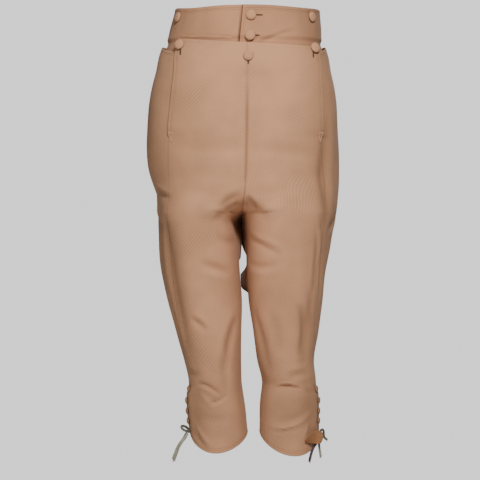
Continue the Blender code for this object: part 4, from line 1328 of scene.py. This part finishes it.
def new_group(name, outputs, **inputs):
    """A shader node group with its own sockets. An input's default gives its kind: a number, a
    colour, or None for a vector. Each output is a number, except one named Colour."""
    group = bpy.data.node_groups.new(name, "ShaderNodeTree")
    kinds = {float: "NodeSocketFloat", tuple: "NodeSocketColor", type(None): "NodeSocketVector"}
    for label, value in inputs.items():
        socket = group.interface.new_socket(
            label.replace("_", " "), in_out="INPUT", socket_type=kinds[type(value)])
        if value is not None:
            socket.default_value = value
    for label in outputs:
        kind = kinds[tuple if label == "Colour" else float]
        group.interface.new_socket(label, in_out="OUTPUT", socket_type=kind)
    given, result = (group.nodes.new("NodeGroup" + end) for end in ("Input", "Output"))
    return Wiring(group), given.outputs, result.inputs


# Tones that the cloth is shaded with
SOILED = (0.33, 0.17, 0.085, 1)
# Painted shade in the floors of folds
PAINTED_FOLD_SHADE = (0.20, 0.095, 0.045, 1)
# Paler on the ridges of folds
FOLD_RIDGE_PALE = (0.78, 0.45, 0.27, 1)
# Cut edges darker: partly soil, partly a painted shadow line along them
EDGE_DIRT_AND_SHADOW = (0.22, 0.11, 0.055, 1)
# Painted shadow under the edge of a piece that lies over the cloth
PAINTED_LAP_SHADOW = (0.085, 0.04, 0.02, 1)
BETWEEN_RIBS = (0.20, 0.10, 0.05, 1)
PALE_THREAD = (0.62, 0.44, 0.32, 1)
STITCH_GROOVE = (0.16, 0.08, 0.04, 1)
BUTTON_GROOVE = (0.26, 0.12, 0.055, 1)
BUTTON_PALE = (0.72, 0.42, 0.25, 1)
# Painted shadow under a button's rim
BUTTON_UNDERSIDE_SHADOW = (0.07, 0.03, 0.015, 1)
FACING_GROOVE = (0.16, 0.06, 0.025, 1)
FACING_TIP = (0.13, 0.045, 0.02, 1)


def rib_group():
    """Slanting ribs: the sine of the distance across them, wandering a little with noise."""
    w, given, result = new_group("drill_ribs", ["Rib"], Vector=None, Slant=0.8, Spacing=0.004, Wander=0.035)
    x, y, _ = w.split(given["Vector"])
    across = w.math("SUBTRACT", w.times(x, w.math("SINE", given["Slant"])),
                    w.times(y, w.math("COSINE", given["Slant"])))
    wander = w.math("SUBTRACT", w.noise(given["Vector"], 6.0, 1.0), 0.5)
    wander = w.times(wander, given["Wander"])
    count = w.math("DIVIDE", w.math("ADD", across, wander), given["Spacing"])
    w.feed(result["Rib"], w.math("MULTIPLY_ADD", w.math("SINE", w.times(count, FULL_TURN)), 0.5, 0.5))
    return w.tree


def weave_group():
    """Crossing threads: the product of a sine along the cloth and one across it."""
    w, given, result = new_group("fine_weave", ["Threads", "Slub"], Vector=None, Thread=0.0009)
    x, y, _ = w.split(given["Vector"])
    along, across = (w.math("SINE", w.times(w.math("DIVIDE", axis, given["Thread"]), FULL_TURN))
                     for axis in (x, y))
    w.feed(result["Threads"], w.math("MULTIPLY_ADD", w.times(along, across), 0.5, 0.5))
    stretched = w.node("Mapping")
    w.feed_all(stretched.inputs, Vector=given["Vector"], Scale=(1.0, 14.0, 1.0))
    w.feed(result["Slub"], w.noise(stretched.outputs[0], 60.0, 4.0, 0.7))
    return w.tree


def soil_and_shade_group():
    """Soil and painted shade: blotches of soil darker, high folds paler, floors of folds darker as
    painted shade, cut edges darker as soil and a painted shadow line, and painted shadow under a
    lap. The shades are laid one over the other, each by its own strength."""
    w, given, result = new_group(
        "soil_and_painted_shade", ["Colour", "Soil"], Colour=(0.5, 0.3, 0.2, 1), Vector=None, Edge=10.0, Depth=0.0,
        Edge_Reach=1.6, Amount=1.0, Lapped=0.0)
    soil = w.times(w.span(w.noise(given["Vector"], 9.0, 4.0, 0.6), 0.45, 0.75), given["Amount"])
    shaded = given["Colour"]
    for mask, strength, tone in (
        (soil, 0.25, SOILED),
        # Painted shade: the floors of folds darker
        (w.span(given["Depth"], 0.1, 1.0), 0.35, PAINTED_FOLD_SHADE),
        (w.span(given["Depth"], -0.1, -0.8), 0.25, FOLD_RIDGE_PALE),
        # Cut edges darker: partly soil, partly a painted shadow line along them
        (w.span(given["Edge"], given["Edge Reach"], 0.0), 0.3, EDGE_DIRT_AND_SHADOW),
        # Painted shadow where another piece lies over, with the seam lines and the painted shade between the
        # legs
        (given["Lapped"], 0.85, PAINTED_LAP_SHADOW),
    ):
        shaded = w.mix(w.times(mask, strength, clamp=True), shaded, tone)
    w.feed_all(result, Colour=shaded, Soil=soil)
    return w.tree


def stitched_edge_group():
    """The line that stitching presses into a turned-in edge: a peak where the distance from the
    edge is the inset, and a weaker one at a second inset."""
    w, given, result = new_group("stitched_edge", ["Groove"], Distance=50.0, Inset=HEM_INSET,
                                 Second_Inset=HEM_INSET + 3, Width=0.8)
    first, second = (
        w.math("SUBTRACT", 1.0, w.math("DIVIDE", w.math("ABSOLUTE", w.math(
            "SUBTRACT", given["Distance"], given[inset])), given["Width"]), clamp=True)
        for inset in ("Inset", "Second Inset"))
    w.feed(result["Groove"], w.math("MAXIMUM", first, w.times(second, 0.5)))
    return w.tree


def nap_group():
    """Nap: fine noise for the loose fibres on the surface."""
    w, given, result = new_group("nap", ["Fibres"], Vector=None, Size=900.0)
    w.feed(result["Fibres"], w.noise(given["Vector"], given["Size"], 3.0, 0.7))
    return w.tree


def start_material(name, roughness, sheen=0.0):
    material = bpy.data.materials.new(name)
    material.use_nodes = True
    w = Wiring(material.node_tree)
    shader = material.node_tree.nodes["Principled BSDF"].inputs
    w.feed_all(shader, Roughness=roughness, Metallic=0.0, Specular_IOR_Level=0.15, Sheen_Weight=sheen,
               Sheen_Roughness=0.6)
    return material, shader, w


def finish_material(w, shader, colour, roughness, height, strength, distance):
    """Feed a material's colour and roughness, and its height as a bump."""
    bump = w.node("Bump")
    w.feed_all(bump.inputs, Strength=strength, Distance=distance, Height=height)
    w.feed_all(shader, Base_Color=colour, Roughness=roughness, Normal=bump.outputs[0])


def cloth_material(name, front, side):
    """Ribbed drill: a front tone and a darker side tone, painted shade toward the sides and at the
    knees, ribs over a fine weave, soil and painted shade, and nap in the bump."""
    material, shader, w = start_material(name, 0.9, 0.08)
    lie, place, edge = w.lie(), w.place(), w.mark("edge_distance")
    rib = w.use("ribs", Vector=lie, Spacing=0.0044, Slant=0.75)["Rib"]
    weave = w.use("weave", Vector=lie)
    nap = w.use("nap", Vector=place)["Fibres"]
    # Painted shade: mixes in the darker side tone toward the sides and at the knees
    base = w.mix(w.mark("side_and_knee_shade"), front, side)
    blotched = tuple(c * f for c, f in zip(side, (1.02, 1.04, 1.0, 1)))
    base = w.mix(w.span(w.noise(place, 4.0, 2.0), 0.35, 0.7, 0.0, 0.35), base, blotched)
    faint = w.span(w.noise(place, 9.0, 2.0), 0.42, 0.62, 0.08, 1.0)
    ribbed = w.mix(w.times(w.span(rib, 0.0, 1.0, 0.34, 0.0), faint), base, BETWEEN_RIBS)
    slub = w.mix(w.span(weave["Slub"], 0.3, 0.75, 0.0, 0.16), ribbed, PALE_THREAD)
    soiled_and_shaded = w.use("soil_and_shade", Colour=slub, Vector=place, Edge=edge, Depth=w.mark("fold_depth"),
                    Lapped=w.mark("lapped"))
    groove = w.use("stitched", Distance=edge)["Groove"]
    threads = w.math("ADD", w.times(weave["Threads"], 0.2), w.times(nap, 0.35))
    height = w.math("SUBTRACT", w.math("ADD", w.times(rib, 0.45), threads), w.times(groove, 1.5))
    finish_material(w, shader, w.mix(w.times(groove, 0.5), soiled_and_shaded["Colour"], STITCH_GROOVE),
                    w.span(soiled_and_shaded["Soil"], 0.0, 1.0, 0.9, 0.8), height, 0.35, 0.0006)
    return material


def button_material(name, colour):
    """The cloth drawn over a button: the same ribs, with painted shadow in the tucks underneath."""
    material, shader, w = start_material(name, 0.85, 0.08)
    lie = w.lie()
    rib = w.use("ribs", Vector=lie, Spacing=0.0024, Slant=0.8)["Rib"]
    weave = w.use("weave", Vector=lie, Thread=0.0008)
    nap = w.use("nap", Vector=w.place())["Fibres"]
    base = w.mix(w.span(rib, 0.0, 1.0, 0.3, 0.0), colour, BUTTON_GROOVE)
    base = w.mix(w.span(weave["Slub"], 0.3, 0.75, 0.0, 0.12), base, BUTTON_PALE)
    # Painted shadow under the button's rim, by the underside mark
    base = w.mix(w.times(w.mark("underside"), 0.85), base, BUTTON_UNDERSIDE_SHADOW)
    finish_material(w, shader, base, w.span(nap, 0.3, 0.7, 0.75, 0.92),
                    w.math("ADD", rib, w.times(weave["Threads"], 0.5)), 0.4, 0.0005)
    return material


def facing_material(name, colour, dark):
    """The facing of the hem: smooth orange-brown twill, worn paler in streaks."""
    material, shader, w = start_material(name, 0.7, 0.2)
    lie, place = w.lie(), w.place()
    rib = w.use("ribs", Vector=lie, Spacing=0.0014, Slant=0.9)["Rib"]
    weave = w.use("weave", Vector=lie, Thread=0.0006)
    base = w.mix(w.noise(place, 60.0, 3.0), colour, dark)
    base = w.mix(w.span(rib, 0.0, 1.0, 0.25, 0.0), base, FACING_GROOVE)
    soiled_and_shaded = w.use("soil_and_shade", Colour=base, Vector=place, Edge=w.mark("edge_distance"),
                    Depth=w.mark("fold_depth"), Amount=0.5)["Colour"]
    tipped = w.mix(w.span(w.mark("tip"), 0.35, 1.0, 0.0, 0.85), soiled_and_shaded, FACING_TIP)
    finish_material(w, shader, tipped, w.span(weave["Slub"], 0.2, 0.8, 0.6, 0.8),
                    w.math("ADD", rib, weave["Threads"]), 0.4, 0.0003)
    return material


def ribbon_material(name, colour, dark):
    """Narrow woven tape: cross threads and faded streaks along it."""
    material, shader, w = start_material(name, 0.55, 0.15)
    place = w.place()
    weave = w.use("weave", Vector=place, Thread=0.0007)
    base = w.mix(w.span(w.noise(place, 140.0, 3.0), 0.3, 0.7), colour, dark)
    base = w.mix(w.times(weave["Threads"], 0.35), base, dark)
    finish_material(w, shader, w.use("soil_and_shade", Colour=base, Vector=place, Amount=0.4)["Colour"],
                    w.span(weave["Slub"], 0.2, 0.8, 0.45, 0.7), weave["Threads"], 0.5, 0.0002)
    return material


def thread_material(name, colour, dark):
    """Sewing thread: a twist of two tones with nap."""
    material, shader, w = start_material(name, 0.75, 0.2)
    place = w.place()
    twist = w.use("ribs", Vector=place, Spacing=0.0007, Slant=0.6)["Rib"]
    nap = w.use("nap", Vector=place, Size=1500.0)["Fibres"]
    finish_material(w, shader, w.mix(w.times(twist, 0.6), colour, dark),
                    w.span(nap, 0.3, 0.7, 0.65, 0.85), twist, 0.3, 0.0002)
    return material


GROUPS = {"ribs": rib_group(), "weave": weave_group(), "soil_and_shade": soil_and_shade_group(), "nap": nap_group(),
          "stitched": stitched_edge_group()}
LOOKS = {
    # The second colour of each cloth is its painted side shade, mixed in toward the sides and at the knees
    "ribbed_cloth": (cloth_material, (0.69, 0.332, 0.172, 1), (0.50, 0.245, 0.122, 1)),
    # Painted shade: the waistband cloth is a darker copy of the ribbed cloth
    "waistband_cloth": (cloth_material, (0.60, 0.275, 0.138, 1), (0.42, 0.195, 0.095, 1)),
    "covered_button": (button_material, (0.63, 0.315, 0.17, 1)),
    "knee_button": (button_material, (0.34, 0.185, 0.10, 1)),
    "facing": (facing_material, (0.58, 0.25, 0.075, 1), (0.42, 0.17, 0.055, 1)),
    "olive_ribbon": (ribbon_material, (0.46, 0.44, 0.34, 1), (0.24, 0.225, 0.165, 1)),
    "deep_olive_ribbon": (ribbon_material, (0.15, 0.14, 0.095, 1), (0.07, 0.065, 0.045, 1)),
    "dark_ribbon": (ribbon_material, (0.09, 0.055, 0.07, 1), (0.04, 0.025, 0.035, 1)),
    "stitch_thread": (thread_material, (0.46, 0.23, 0.12, 1), (0.26, 0.125, 0.06, 1)),
    "buttonhole_thread": (thread_material, (0.20, 0.095, 0.045, 1), (0.10, 0.045, 0.02, 1)),
    # Painted shadow for the buttonhole slits
    "slit_dark": (thread_material, (0.03, 0.014, 0.008, 1), (0.012, 0.006, 0.004, 1)),
    "tack_thread": (thread_material, (0.85, 0.55, 0.36, 1), (0.5, 0.28, 0.16, 1)),
}
MATERIALS = {name: maker(name, *colours) for name, (maker, *colours) in LOOKS.items()}

# Camera, light and floor

CAMERA_DISTANCE = 3.6
CAMERA_PLACE = (-0.0126, -CAMERA_DISTANCE, -0.382)
FRAME_WIDTH = 0.864
SENSOR_WIDTH = 36
ROOM_LIGHT = 0.1
GROUND_BRIGHTNESS = 1.24
FLOOR_RADIUS = 2000.0
FLOOR_HEIGHT = -1150.0
LIGHTS = table(
    "name place target size power",
    ("key", (0.38, -1.85, 1.0), (0, 0, -0.3), 0.6, 47.0),
    ("fill", (-1.7, -2.6, 0.4), (0, 0, -0.3), 0.9, 25.0),
    ("back_fill", (0.4, 2.6, 1.2), (0, 0, -0.35), 1.8, 52.0),
)


def make_camera():
    """A long lens that takes in the photograph's width at the waist's depth, level with the hips."""
    camera = bpy.data.cameras.new("photo_view")
    camera.sensor_width = SENSOR_WIDTH
    camera.lens = SENSOR_WIDTH * CAMERA_DISTANCE / FRAME_WIDTH
    obj = link("photo_view", camera)
    obj.location = CAMERA_PLACE
    obj.rotation_euler = (math.radians(90), 0, 0)
    bpy.context.scene.camera = obj


def make_studio():
    """Soft light from the front and above, a pale floor well below, and a plain grey ground."""
    world = bpy.data.worlds.new("studio")
    bpy.context.scene.world = world
    world.use_nodes = True
    w = Wiring(world.node_tree)
    seen = w.node("LightPath").outputs["Is Camera Ray"]
    w.feed_all(world.node_tree.nodes["Background"].inputs, Color=(1, 1, 1, 1),
               Strength=w.span(seen, 0.0, 1.0, ROOM_LIGHT, GROUND_BRIGHTNESS))
    for row in LIGHTS:
        light = bpy.data.lights.new(row.name, "AREA")
        light.shape = "DISK"
        light.size = row.size
        light.energy = row.power
        obj = link(row.name, light)
        away = unit(np.array(row.place, float) - np.array(row.target, float))
        obj.location = row.place
        obj.rotation_euler = (math.acos(away[2]), 0, math.atan2(away[1], away[0]) + math.pi / 2)
    turn = turns(64)
    ring = np.stack([FLOOR_RADIUS * np.cos(turn), FLOOR_RADIUS * np.sin(turn),
                     np.full(len(turn), FLOOR_HEIGHT)], axis=1)
    mesh = bpy.data.meshes.new("floor")
    mesh.from_pydata([tuple(p) for p in ring * MM], [], [tuple(range(len(turn)))])
    material, shader, _ = start_material("floor_paint", 0.9)
    shader["Base Color"].default_value = (0.6, 0.6, 0.6, 1)
    mesh.materials.append(material)
    link("floor", mesh)


# Making

RIBBON_LIES = table(
    "name facing twist cut",
    ("ribbon_loop_right", (0.3, -1.0, 0.3), 12, 0.0),
    ("ribbon_tail_right_front", (0.2, -1.0, 0.1), 18, 1.2),
    ("ribbon_tail_right_back", (-0.3, -1.0, 0.0), -16, -1.5),
    ("ribbon_loop_left", (0.3, -1.0, 0.15), 8, 1.0),
    ("ribbon_tail_left_back", (0.3, -1.0, 0.0), 12, 1.4),
    ("ribbon_tail_left_front", (0.1, -1.0, 0.3), -20, -1.6),
)
# Flat width and length in metres, and the area of the right and the left piece in square metres
Cut = namedtuple("Cut", "flat area")


def make_side(side):
    """The pieces of one side, each with its stitches."""
    front, back = (make_front_or_back(kind, side) for kind in ("front", "back"))
    band, stay = make_waistband(side), make_stay(side)
    slit = [edge_line(side, SLIT_FOOT + 6, -52.0, HEM_INSET + SLIT_EASE + more, 120) for more in (0, 3)]
    knee = edge_line(side, KNEE_OPENING_TOP + 4, HEM_AT_SIDES + 6, HEM_INSET, 80)
    ends = (BAND_FOOT_BEHIND - HEM_INSET, HEM_AT_SIDES + HEM_INSET)
    front_stitches = make_stitches(
        sided(side, "front_stitches"), [*slit, *(across_line("front", side, row) for row in ends), knee])
    back_stitches = make_stitches(
        sided(side, "back_stitches"), [across_line("back", side, row) for row in ends])
    stay_stitches = make_stitches(
        sided(side, "slit_stay_stitches"), stay_lines(side), "tack_thread", 2.3, 2.1, 0.5)
    band_stitches = make_stitches(sided(side, "waistband_stitches"), band_lines(side))


make_camera()
for row in RIBBON_LIES:
    make_ribbon(row.name, np.array(row.facing), row.twist, row.cut)
for name, centre in KNOTS.items():
    make_knot(name, centre)
make_studio()
for side in SIDES:
    make_side(side)
make_knee_flap()
make_buttons()
for hole in HOLES:
    make_buttonhole(hole)
